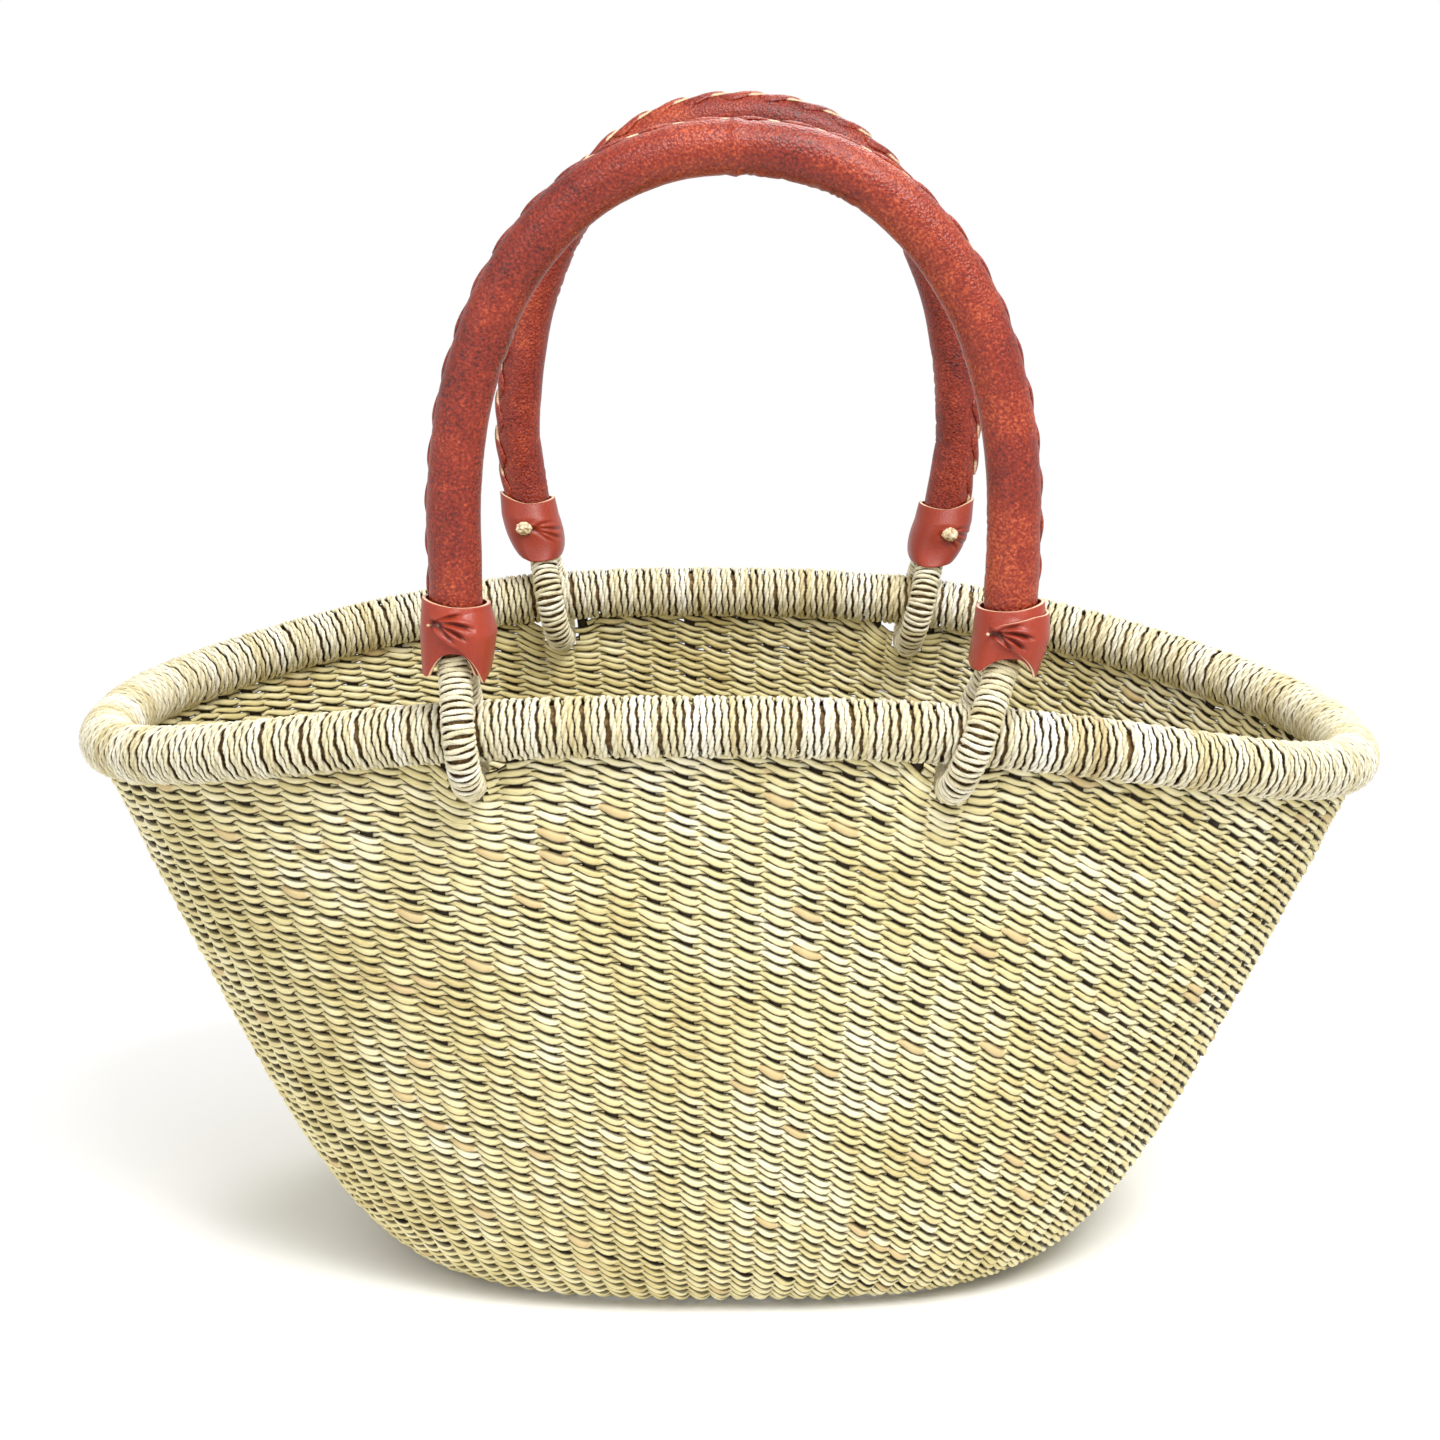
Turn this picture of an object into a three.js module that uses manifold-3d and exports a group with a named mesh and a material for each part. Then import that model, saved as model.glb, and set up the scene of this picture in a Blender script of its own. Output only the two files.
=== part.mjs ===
// Woven market basket: an oval twined grass basket with a bound rim and two leather-covered handles.
// Millimetres, +Z up. The origin is the middle of the base's underside, X runs along the basket and
// the front handle stands on the -Y side. Each handle turns about its two rope loops on the rim.
import * as THREE from "three";
import { mergeVertices } from "three/addons/utils/BufferGeometryUtils.js";
import Module from "manifold-3d";

// ---- Driving dimensions -------------------------------------------------------------------------

// Rim hoop, measured on its centre line. It is high along its long sides and low at its ends.
const RIM_SEMI_LENGTH = 205;
const RIM_SEMI_WIDTH = 112;
const RIM_POWER = 2.54;
const RIM_SIDE_HEIGHT = 193.5;
const RIM_END_HEIGHT = 166.7;
const RIM_TILT = 2.9;
const RIM_SHOULDER_DIP = 1.5;
const RIM_CORE_RADIUS = 6.8;
const RIM_WRAP_THICKNESS = 2.3;
const RIM_SLOT_MARGIN = 1;

// Woven wall and base: the middle surface of a shell.
const WEAVE_THICKNESS = 6.4;
const BASE_SEMI_LENGTH = 100;
const BASE_SEMI_WIDTH = 86;
const BASE_POWER = 2.9;
const HEEL_SEMI_LENGTH = 130;
const HEEL_SEMI_WIDTH = 109;
const FLARE_SEMI_LENGTH = 154;
const FLARE_SEMI_WIDTH = 116;
const FLARE_END_HEIGHT = 54;
const FLARE_SIDE_HEIGHT = 84;

// Rope loops that tie the handles to the rim.
const LOOP_CORE_RADIUS = 3.4;
const LOOP_WRAP_THICKNESS = 1.4;
const LOOP_RIM_CLEARANCE = 1.2;
const LOOP_LEG_GAP = 1;
const LOOP_TOP_LENGTH = 25.5;
const LOOP_RELEASE_ANGLE = 30;
const LOOP_BEND = 0.4;
const WINDOW_CLEARANCE = 0.5;

// Handle: a rope core in a leather sleeve whose seam is laced along the outer edge.
const HANDLE_CORE_RADIUS = 6.7;
const SLEEVE_THICKNESS = 1.2;
const SLEEVE_START = 31;
const ARCH_SPRING_HEIGHT = 59;
const ARCH_POWER = 2.2;
const LACING_WIDTH = 6.5;
const LACING_HEIGHT = 1.8;
const LACING_TURN = 22;
const LACING_END_GAP = 2.2;
const LACING_SHOULDER = 0.7;

// Leather cuffs over the joints between loops and handle, and the rawhide ties through them.
const CUFF_THICKNESS = 1.3;
const CUFF_HEM_EASE = 4.3;
const CUFF_HEM_POWER = 3;
const CUFF_BELLY = 0.6;
const TIE_RADIUS = 1;
const TIE_HEIGHT = 29.1;
const TIE_HEAD_RADIUS = 1.7;
const TIE_KNOT_RADIUS = 2.6;

// Running gap that keeps neighbouring pieces apart.
const CLEARANCE = 0.3;

// How far a handle turns outwards from upright, in degrees, until its cuffs come to the wall.
const TURN_OUT = 120;

// The two handles, side -1 at the front. Lists give the left and right places along X of each loop on
// the hinge line, of its leg tops, of the cuff's hem and of the sleeve's end, from the basket's middle.
const HANDLES = [
  {
    name: "front",
    side: -1,
    height: 170,
    archMiddle: 0.5,
    archHalfSpan: 81.5,
    cuffBottom: 19.5,
    cuffTop: 41,
    loops: [-78.7, 71.2],
    legTops: [-81.4, 80.5],
    hems: [-81.1, 79],
    sleeveEnds: [-80.5, 81.5],
  },
  {
    name: "back",
    side: 1,
    height: 176,
    archMiddle: 2.5,
    archHalfSpan: 80.5,
    cuffBottom: 16,
    cuffTop: 38,
    loops: [-65.2, 70.3],
    legTops: [-70.5, 76],
    hems: [-69.5, 74.6],
    sleeveEnds: [-73.8, 79],
  },
];

// ---- Sizes that follow from them ------------------------------------------------------------------

const HALF_WEAVE = WEAVE_THICKNESS / 2;
const RIM_BORE_RADIUS = RIM_CORE_RADIUS + CLEARANCE;
const RIM_RADIUS = RIM_BORE_RADIUS + RIM_WRAP_THICKNESS;
const WALL_DROP = RIM_BORE_RADIUS + CLEARANCE;
const LOOP_BORE_RADIUS = LOOP_CORE_RADIUS + CLEARANCE;
const LOOP_RADIUS = LOOP_BORE_RADIUS + LOOP_WRAP_THICKNESS;
const LOOP_RING_RADIUS = RIM_RADIUS + LOOP_RIM_CLEARANCE + LOOP_RADIUS;
const LOOP_LEG_OFFSET = LOOP_RADIUS + LOOP_LEG_GAP / 2;
const SLEEVE_BORE_RADIUS = HANDLE_CORE_RADIUS + CLEARANCE;
const SLEEVE_RADIUS = SLEEVE_BORE_RADIUS + SLEEVE_THICKNESS;

// Facet counts.
const AROUND = 72;
const WALL_ROWS = 9;
const SIDES = 8;
const HANDLE_SIDES = 10;
const ARCH_STEPS = 20;
const BINDING_FACETS = 8;
const CUFF_SIDES = 16;
const LEG_STEPS = 5;
const LOOP_STEPS = 7;
const SWEEP_STEPS = 48;

// A point and a slope are found over this share of a turn or of the wall's rise.
const STEP = 0.001;

// Points closer than this are one corner.
const WELD = 1e-4;

const CUFF_TOP_RADIUS = (SLEEVE_RADIUS + CLEARANCE) / Math.cos(Math.PI / CUFF_SIDES) + CUFF_THICKNESS;

const wasm = await Module();
wasm.setup();

// ---- Solids from sections ---------------------------------------------------------------------------

// Joins equal rings of points into a closed surface. A loft that doesn't close on itself gets flat ends.
function loft(rings, closes) {
  const count = rings[0].length;
  const points = rings.flat();
  const faces = [];
  const last = closes ? rings.length : rings.length - 1;
  for (let i = 0; i < last; i++) {
    const here = i * count;
    const next = ((i + 1) % rings.length) * count;
    for (let j = 0; j < count; j++) {
      const k = (j + 1) % count;
      faces.push(here + j, here + k, next + k, here + j, next + k, next + j);
    }
  }
  if (!closes) {
    const end = last * count;
    for (let j = 1; j < count - 1; j++) {
      faces.push(0, j + 1, j, end, end + j, end + j + 1);
    }
  }
  const geometry = new THREE.BufferGeometry().setFromPoints(points);
  geometry.setIndex(faces);
  return facingOut(geometry);
}

function signedVolume(geometry) {
  const position = geometry.getAttribute("position");
  const index = geometry.index.array;
  const corner = [new THREE.Vector3(), new THREE.Vector3(), new THREE.Vector3()];
  let volume = 0;
  for (let i = 0; i < index.length; i += 3) {
    corner.forEach((c, k) => c.fromBufferAttribute(position, index[i + k]));
    volume += corner[0].dot(corner[1].clone().cross(corner[2])) / 6;
  }
  return volume;
}

function facingOut(geometry) {
  if (signedVolume(geometry) < 0) {
    const index = geometry.index.array;
    for (let i = 0; i < index.length; i += 3) {
      [index[i + 1], index[i + 2]] = [index[i + 2], index[i + 1]];
    }
  }
  geometry.computeVertexNormals();
  return geometry;
}

function solidOf(geometry) {
  const bare = geometry.clone();
  bare.deleteAttribute("normal");
  bare.deleteAttribute("uv");
  const merged = mergeVertices(bare, WELD);
  return new wasm.Manifold(new wasm.Mesh({
    numProp: 3,
    vertProperties: merged.getAttribute("position").array,
    triVerts: new Uint32Array(merged.index.array),
  }));
}

function geometryOf(solid) {
  const mesh = solid.getMesh();
  const geometry = new THREE.BufferGeometry();
  geometry.setAttribute("position", new THREE.BufferAttribute(mesh.vertProperties, 3));
  geometry.setIndex(new THREE.BufferAttribute(mesh.triVerts, 1));
  geometry.computeVertexNormals();
  return geometry;
}

function cutAway(geometry, cutters) {
  return geometryOf(cutters.reduce((left, cutter) => left.subtract(solidOf(cutter)), solidOf(geometry)));
}

function joined(geometries) {
  return geometryOf(geometries.map(solidOf).reduce((sum, next) => sum.add(next)));
}

// ---- Curves -----------------------------------------------------------------------------------------

function bezier(a, b, c, d, t) {
  const s = 1 - t;
  return s * s * s * a + 3 * s * s * t * b + 3 * s * t * t * c + t * t * t * d;
}

// A point on an oval whose corners fill out as the power grows past 2.
function oval(angle, semiLength, semiWidth, power) {
  const along = Math.cos(angle);
  const across = Math.sin(angle);
  return [
    semiLength * Math.sign(along) * Math.abs(along) ** (2 / power),
    semiWidth * Math.sign(across) * Math.abs(across) ** (2 / power),
  ];
}

function rimHeight(angle) {
  const end = Math.cos(angle) ** 2;
  const saddle = RIM_END_HEIGHT * end + RIM_SIDE_HEIGHT * (1 - end);
  return saddle - RIM_TILT * Math.cos(angle) - RIM_SHOULDER_DIP * (1 - Math.cos(4 * angle));
}

function rimPoint(angle) {
  const [x, y] = oval(angle, RIM_SEMI_LENGTH, RIM_SEMI_WIDTH, RIM_POWER);
  return new THREE.Vector3(x, y, rimHeight(angle));
}

// The rim's centre line above a place along X, on the front (-1) or back (+1) side.
function rimPointAt(x, side) {
  const angle = Math.acos(Math.sign(x) * Math.abs(x / RIM_SEMI_LENGTH) ** (RIM_POWER / 2));
  return rimPoint(side * angle);
}

// The wall's middle surface. rise runs from 0 at the base to 1 under the rim.
function wallPoint(angle, rise) {
  const length = bezier(BASE_SEMI_LENGTH, HEEL_SEMI_LENGTH, FLARE_SEMI_LENGTH, RIM_SEMI_LENGTH, rise);
  const width = bezier(BASE_SEMI_WIDTH, HEEL_SEMI_WIDTH, FLARE_SEMI_WIDTH, RIM_SEMI_WIDTH, rise);
  const power = THREE.MathUtils.lerp(BASE_POWER, RIM_POWER, rise);
  const [x, y] = oval(angle, length, width, power);
  const end = Math.cos(angle) ** 2;
  const flare = FLARE_END_HEIGHT * end + FLARE_SIDE_HEIGHT * (1 - end);
  const z = bezier(HALF_WEAVE, HALF_WEAVE, flare, rimHeight(angle) - WALL_DROP, rise);
  return new THREE.Vector3(x, y, z);
}

// Across the wall's thickness. It turns level under the rim, so that the wall ends in a level edge.
function wallNormal(angle, rise) {
  const around = wallPoint(angle + STEP, rise).sub(wallPoint(angle - STEP, rise));
  const lower = Math.max(rise - STEP, 0);
  const upper = Math.min(rise + STEP, 1);
  const up = wallPoint(angle, upper).sub(wallPoint(angle, lower));
  const normal = around.cross(up).normalize();
  normal.z *= 1 - rise ** 4;
  return normal.normalize();
}

function angles() {
  return Array.from({ length: AROUND }, (_, i) => (2 * Math.PI * (i + 0.5)) / AROUND);
}

// ---- Basket -----------------------------------------------------------------------------------------

function baseGeometry() {
  const edge = angles().map((angle) => {
    const rim = new THREE.Vector2(...oval(angle, BASE_SEMI_LENGTH, BASE_SEMI_WIDTH, BASE_POWER));
    return rim.setLength(rim.length() - CLEARANCE);
  });
  const shape = new THREE.Shape(edge);
  return new THREE.ExtrudeGeometry(shape, { depth: WEAVE_THICKNESS, bevelEnabled: false });
}

// The volume that a loop sweeps round the rim: a flat ring about the handle's hinge line.
function loopSweep(handle, end) {
  const inner = RIM_RADIUS + LOOP_RIM_CLEARANCE - WINDOW_CLEARANCE;
  const outer = LOOP_RING_RADIUS + LOOP_RADIUS + WINDOW_CLEARANCE;
  const half = LOOP_RADIUS + WINDOW_CLEARANCE;
  // Turned right out, the leg above the ring lies in the thickness of the wall as well.
  const reach = LOOP_RING_RADIUS * -Math.cos(THREE.MathUtils.degToRad(TURN_OUT)) + HALF_WEAVE;
  const low = loopX(handle, end, -LOOP_RING_RADIUS);
  const high = loopX(handle, end, reach);
  const left = Math.min(low, high) - half;
  const right = Math.max(low, high) + half;
  const profile = [[inner, left], [outer, left], [outer, right], [inner, right], [inner, left]];
  const points = profile.map(([radius, along]) => new THREE.Vector2(radius, along));
  const ring = new THREE.LatheGeometry(points, SWEEP_STEPS);
  ring.rotateZ(-Math.PI / 2);
  return ring.applyMatrix4(handleFrame(handle));
}

function wallGeometry() {
  const rings = [];
  const face = (rise, side) => angles().map((angle) => (
    wallPoint(angle, rise).addScaledVector(wallNormal(angle, rise), side * HALF_WEAVE)
  ));
  for (let row = 0; row <= WALL_ROWS; row++) {
    rings.push(face(row / WALL_ROWS, 1));
  }
  for (let row = WALL_ROWS; row >= 0; row--) {
    rings.push(face(row / WALL_ROWS, -1));
  }
  const sweeps = HANDLES.flatMap((handle) => [0, 1].map((end) => loopSweep(handle, end)));
  return cutAway(loft(rings, true), sweeps);
}

// A ring of the rim's cross-section at one angle, from polar points measured round from straight down.
function rimSection(angle, polar) {
  const tangent = rimPoint(angle + STEP).sub(rimPoint(angle - STEP)).setZ(0).normalize();
  const outward = new THREE.Vector3(tangent.y, -tangent.x, 0);
  return polar.map(([radius, turn]) => rimPoint(angle)
    .addScaledVector(outward, radius * Math.sin(turn))
    .add(new THREE.Vector3(0, 0, -radius * Math.cos(turn))));
}

// Angles round the rim from one lip of the binding's slot to the other.
function bindingArc() {
  const slot = Math.asin((HALF_WEAVE + RIM_SLOT_MARGIN) / RIM_BORE_RADIUS);
  const sweep = 2 * Math.PI - 2 * slot;
  return Array.from({ length: BINDING_FACETS + 1 }, (_, i) => slot + (sweep * i) / BINDING_FACETS);
}

function rimCoreGeometry() {
  const polar = [0, ...bindingArc()].map((turn) => [RIM_CORE_RADIUS, turn]);
  return loft(angles().map((angle) => rimSection(angle, polar)), true);
}

// The binding is open underneath, where the wall's stakes come up into the hoop.
function rimBindingGeometry() {
  const arc = bindingArc();
  const outer = arc.map((turn) => [RIM_RADIUS, turn]);
  const inner = arc.map((turn) => [RIM_BORE_RADIUS, turn]).reverse();
  return loft(angles().map((angle) => rimSection(angle, [...outer, ...inner])), true);
}

// ---- Handle frame -----------------------------------------------------------------------------------

// Places a handle: its X axis is the hinge line through the two loops, its Z axis points up the handle.
function handleFrame(handle) {
  const [left, right] = handle.loops.map((x) => rimPointAt(x, handle.side));
  const along = right.clone().sub(left).normalize();
  const across = new THREE.Vector3(0, 0, 1).cross(along).normalize();
  const up = along.clone().cross(across);
  const centre = left.add(right).multiplyScalar(0.5);
  return new THREE.Matrix4().makeBasis(along, across, up).setPosition(centre);
}

function handleMiddle(handle) {
  return (handle.loops[0] + handle.loops[1]) / 2;
}

// Where a loop's centre line is along the frame's X axis at a height above the hinge line.
function loopX(handle, end, height) {
  const lean = (handle.legTops[end] - handle.loops[end]) / LOOP_TOP_LENGTH;
  return handle.loops[end] - handleMiddle(handle) + lean * height;
}

// Where the handle's leg is at a height, from the sleeve's end up to the foot of the arch.
function legX(handle, end, height) {
  const foot = handle.archMiddle + (end ? 1 : -1) * handle.archHalfSpan;
  const share = (height - SLEEVE_START) / (ARCH_SPRING_HEIGHT - SLEEVE_START);
  return THREE.MathUtils.lerp(handle.sleeveEnds[end], foot, share) - handleMiddle(handle);
}

// Where the cuff's middle is at a height: from its hem up to the sleeve's end, and then along the leg.
function cuffX(handle, end, height) {
  if (height >= SLEEVE_START) {
    return legX(handle, end, height);
  }
  const share = (height - handle.cuffBottom) / (SLEEVE_START - handle.cuffBottom);
  return THREE.MathUtils.lerp(handle.hems[end], handle.sleeveEnds[end], share) - handleMiddle(handle);
}

// ---- Loops ------------------------------------------------------------------------------------------

// The loop's centre line in the handle's frame: down one leg, round under the rim and up the other.
function loopPath(handle, end) {
  const release = THREE.MathUtils.degToRad(LOOP_RELEASE_ANGLE);
  const legTop = [LOOP_LEG_OFFSET, LOOP_TOP_LENGTH];
  const tangent = [LOOP_RING_RADIUS * Math.cos(release), LOOP_RING_RADIUS * Math.sin(release)];
  const pull = LOOP_BEND * LOOP_RING_RADIUS;
  const bendTop = [LOOP_LEG_OFFSET, LOOP_TOP_LENGTH - pull];
  const bendLow = [tangent[0] - pull * Math.sin(release), tangent[1] + pull * Math.cos(release)];
  const half = [];
  for (let i = 0; i < LEG_STEPS; i++) {
    const t = i / LEG_STEPS;
    half.push([0, 1].map((k) => bezier(legTop[k], bendTop[k], bendLow[k], tangent[k], t)));
  }
  for (let i = 0; i <= LOOP_STEPS; i++) {
    const turn = release - ((release + Math.PI / 2) * i) / LOOP_STEPS;
    half.push([LOOP_RING_RADIUS * Math.cos(turn), LOOP_RING_RADIUS * Math.sin(turn)]);
  }
  const other = half.slice(0, -1).reverse().map(([y, z]) => [-y, z]);
  return [...half, ...other].map(([y, z]) => new THREE.Vector3(loopX(handle, end, z), y, z));
}

// Rings of a round section along a path that lies near one plane. flat is that plane's normal.
function roundSections(path, radius, flat, sides) {
  return path.map((point, i) => {
    const before = path[Math.max(i - 1, 0)];
    const after = path[Math.min(i + 1, path.length - 1)];
    const along = after.clone().sub(before).normalize();
    const side = flat.clone().cross(along).normalize();
    const up = along.clone().cross(side);
    return Array.from({ length: sides }, (_, k) => {
      const turn = (2 * Math.PI * k) / sides;
      return point.clone()
        .addScaledVector(side, radius * Math.cos(turn))
        .addScaledVector(up, radius * Math.sin(turn));
    });
  });
}

function rodGeometry(path, radius, flat, sides) {
  return loft(roundSections(path, radius, flat, sides), false);
}

function pipeGeometry(path, radius, bore, flat, sides) {
  const outer = roundSections(path, radius, flat, sides);
  const inner = roundSections(path, bore, flat, sides).reverse();
  return loft([...outer, ...inner], true);
}

const ALONG_X = new THREE.Vector3(1, 0, 0);
const ALONG_Y = new THREE.Vector3(0, 1, 0);

// ---- Handle -----------------------------------------------------------------------------------------

// The handle's centre line: up a leg, over an arch and down the other leg, in the frame's XZ plane.
function handlePath(handle) {
  const middle = handle.archMiddle - handleMiddle(handle);
  const rise = handle.height - ARCH_SPRING_HEIGHT;
  const seamEnd = handle.cuffTop + LACING_END_GAP;
  const leg = (end) => [SLEEVE_START, seamEnd].map((z) => new THREE.Vector3(legX(handle, end, z), 0, z));
  const arch = Array.from({ length: ARCH_STEPS + 1 }, (_, i) => {
    const [x, z] = oval(Math.PI * (1 - i / ARCH_STEPS), handle.archHalfSpan, rise, ARCH_POWER);
    return new THREE.Vector3(middle + x, 0, ARCH_SPRING_HEIGHT + z);
  });
  return [...leg(0), ...arch, ...leg(1).reverse()];
}

// The laced seam: a low ridge along the arch, turned from its outer edge towards the basket's inside.
function lacingGeometry(handle) {
  const foot = SLEEVE_RADIUS + CLEARANCE;
  const half = LACING_WIDTH / 2 / foot;
  const lean = THREE.MathUtils.degToRad(LACING_TURN) * -handle.side;
  const shoulder = foot + LACING_SHOULDER * LACING_HEIGHT;
  const profile = [
    [foot + LACING_HEIGHT, 0], [shoulder, -0.8 * half], [foot, -half],
    [foot, -half / 3], [foot, half / 3], [foot, half], [shoulder, 0.8 * half],
  ];
  const path = handlePath(handle).slice(1, -1);
  const rings = path.map((point, i) => {
    const before = path[Math.max(i - 1, 0)];
    const after = path[Math.min(i + 1, path.length - 1)];
    const along = after.clone().sub(before).normalize();
    const outward = along.clone().cross(ALONG_Y);
    return profile.map(([radius, turn]) => point.clone()
      .addScaledVector(outward, radius * Math.cos(turn + lean))
      .addScaledVector(ALONG_Y, radius * Math.sin(turn + lean)));
  });
  return loft(rings, false);
}

// ---- Cuff and tie -----------------------------------------------------------------------------------

// How far the outer side of a loop's leg stands from the handle's plane at a height, down to the rim.
function legReach(handle, height) {
  const path = loopPath(handle, 0);
  let reach = LOOP_LEG_OFFSET + LOOP_RADIUS;
  for (let i = 1, above = LOOP_TOP_LENGTH; above > height && path[i].z > 0; i++) {
    const along = path[i + 1].clone().sub(path[i - 1]).setX(0).normalize();
    const outer = { y: path[i].y - LOOP_RADIUS * along.z, z: path[i].z + LOOP_RADIUS * along.y };
    const share = THREE.MathUtils.clamp((above - height) / (above - outer.z), 0, 1);
    reach = THREE.MathUtils.lerp(reach, Math.max(reach, outer.y), share);
    above = outer.z;
  }
  return reach;
}

// The share of the cuff's height at which the legs of the loop end.
function kneeShare(handle) {
  return (LOOP_TOP_LENGTH - handle.cuffBottom) / (handle.cuffTop - handle.cuffBottom);
}

// Half sizes of the cuff's outside at a share of its height: wide at the hem, then close round the
// tops of the legs, then round to fit the sleeve.
function cuffHalf(handle, share) {
  const knee = kneeShare(handle);
  const low = Math.min(share / knee, 1);
  const high = Math.max((share - knee) / (1 - knee), 0);
  const belly = CUFF_BELLY * Math.sin(Math.PI * share);
  const height = THREE.MathUtils.lerp(handle.cuffBottom, handle.cuffTop, share);
  const depthBelow = legReach(handle, height) + 3 * CLEARANCE + CUFF_THICKNESS;
  const width = THREE.MathUtils.lerp(LOOP_RADIUS + CUFF_HEM_EASE, CUFF_TOP_RADIUS, low) + belly;
  const depth = THREE.MathUtils.lerp(depthBelow, CUFF_TOP_RADIUS, high) + belly;
  return [width, depth];
}

function cuffGeometry(handle, end) {
  const knee = kneeShare(handle);
  const ring = (share, inset) => Array.from({ length: CUFF_SIDES }, (_, k) => {
    const turn = (2 * Math.PI * (k + 0.5)) / CUFF_SIDES;
    const [width, depth] = cuffHalf(handle, share).map((size) => size - inset);
    const [x, y] = oval(turn, width, depth, THREE.MathUtils.lerp(CUFF_HEM_POWER, 2, share));
    const z = THREE.MathUtils.lerp(handle.cuffBottom, handle.cuffTop, share);
    return new THREE.Vector3(cuffX(handle, end, z) + x, y, z);
  });
  const shares = [0, knee / 3, (2 * knee) / 3, knee, (1 + knee) / 2, 1];
  const outer = shares.map((share) => ring(share, 0));
  const inner = shares.map((share) => ring(share, CUFF_THICKNESS)).reverse();
  const hole = tieRod(handle, end, TIE_RADIUS + CLEARANCE, 2 * LOOP_RING_RADIUS);
  return cutAway(loft([...outer, ...inner], true), [hole]);
}

function tieRod(handle, end, radius, reach) {
  const rod = new THREE.CylinderGeometry(radius, radius, 2 * reach, SIDES);
  return rod.translate(cuffX(handle, end, TIE_HEIGHT), 0, TIE_HEIGHT);
}

// A rawhide tie: knotted on the side towards the basket's inside, with a small head on the other side.
function tieGeometry(handle, end) {
  const share = (TIE_HEIGHT - handle.cuffBottom) / (handle.cuffTop - handle.cuffBottom);
  const surface = cuffHalf(handle, share)[1] + CLEARANCE;
  const inward = -handle.side;
  const ball = (radius, y) => {
    const knot = new THREE.IcosahedronGeometry(radius, 1);
    return mergedBall(knot.translate(cuffX(handle, end, TIE_HEIGHT), y, TIE_HEIGHT));
  };
  return joined([
    tieRod(handle, end, TIE_RADIUS, surface + TIE_HEAD_RADIUS),
    ball(TIE_KNOT_RADIUS, inward * (surface + TIE_KNOT_RADIUS)),
    ball(TIE_HEAD_RADIUS, -inward * (surface + TIE_HEAD_RADIUS)),
  ]);
}

function mergedBall(geometry) {
  geometry.deleteAttribute("normal");
  geometry.deleteAttribute("uv");
  return mergeVertices(geometry, WELD);
}

// ---- Materials and assembly -------------------------------------------------------------------------

const GRASS = new THREE.MeshStandardMaterial({ color: 0xe3d79a, roughness: 0.7, metalness: 0 });
const CORE_GRASS = new THREE.MeshStandardMaterial({ color: 0xc9b878, roughness: 0.85, metalness: 0 });
const HANDLE_LEATHER = new THREE.MeshStandardMaterial({ color: 0x9c4232, roughness: 0.4, metalness: 0 });
const CUFF_LEATHER = new THREE.MeshStandardMaterial({ color: 0xb4532b, roughness: 0.5, metalness: 0 });
const RAWHIDE = new THREE.MeshStandardMaterial({ color: 0xe6d6b8, roughness: 0.65, metalness: 0 });

function piece(name, geometry, material) {
  const mesh = new THREE.Mesh(geometry, material);
  mesh.name = name;
  return mesh;
}

function handleGroup(handle) {
  const group = new THREE.Group();
  const path = handlePath(handle);
  const core = rodGeometry(path, HANDLE_CORE_RADIUS, ALONG_Y, HANDLE_SIDES);
  group.add(piece(`${handle.name}_handle_core`, core, CORE_GRASS));
  const sleeve = pipeGeometry(path, SLEEVE_RADIUS, SLEEVE_BORE_RADIUS, ALONG_Y, HANDLE_SIDES);
  group.add(piece(`${handle.name}_handle_sleeve`, sleeve, HANDLE_LEATHER));
  group.add(piece(`${handle.name}_handle_lacing`, lacingGeometry(handle), HANDLE_LEATHER));
  ["left", "right"].forEach((hand, end) => {
    const label = `${handle.name}_${hand}`;
    const loop = loopPath(handle, end);
    const loopCore = rodGeometry(loop, LOOP_CORE_RADIUS, ALONG_X, SIDES);
    const binding = pipeGeometry(loop, LOOP_RADIUS, LOOP_BORE_RADIUS, ALONG_X, SIDES);
    group.add(piece(`${label}_loop_core`, loopCore, CORE_GRASS));
    group.add(piece(`${label}_loop_binding`, binding, GRASS));
    group.add(piece(`${label}_cuff`, cuffGeometry(handle, end), CUFF_LEATHER));
    group.add(piece(`${label}_cuff_tie`, tieGeometry(handle, end), RAWHIDE));
  });
  group.applyMatrix4(handleFrame(handle));
  return group;
}

const basket = new THREE.Group();
basket.add(piece("woven_base", baseGeometry(), GRASS));
basket.add(piece("woven_wall", wallGeometry(), GRASS));
basket.add(piece("rim_core", rimCoreGeometry(), CORE_GRASS));
basket.add(piece("rim_binding", rimBindingGeometry(), GRASS));
HANDLES.forEach((handle) => basket.add(handleGroup(handle)));

export default basket;
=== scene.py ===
"""Woven market basket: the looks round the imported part.

The grass weave, the wound cords and the laced seams are made by Geometry Nodes over guide surfaces.
The leather sleeves, cuffs and ties are surfaces worked out from the same handle lines. Metres, +Z up.
"""

import math

import bmesh
import bpy
import numpy as np
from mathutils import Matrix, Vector, noise


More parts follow.
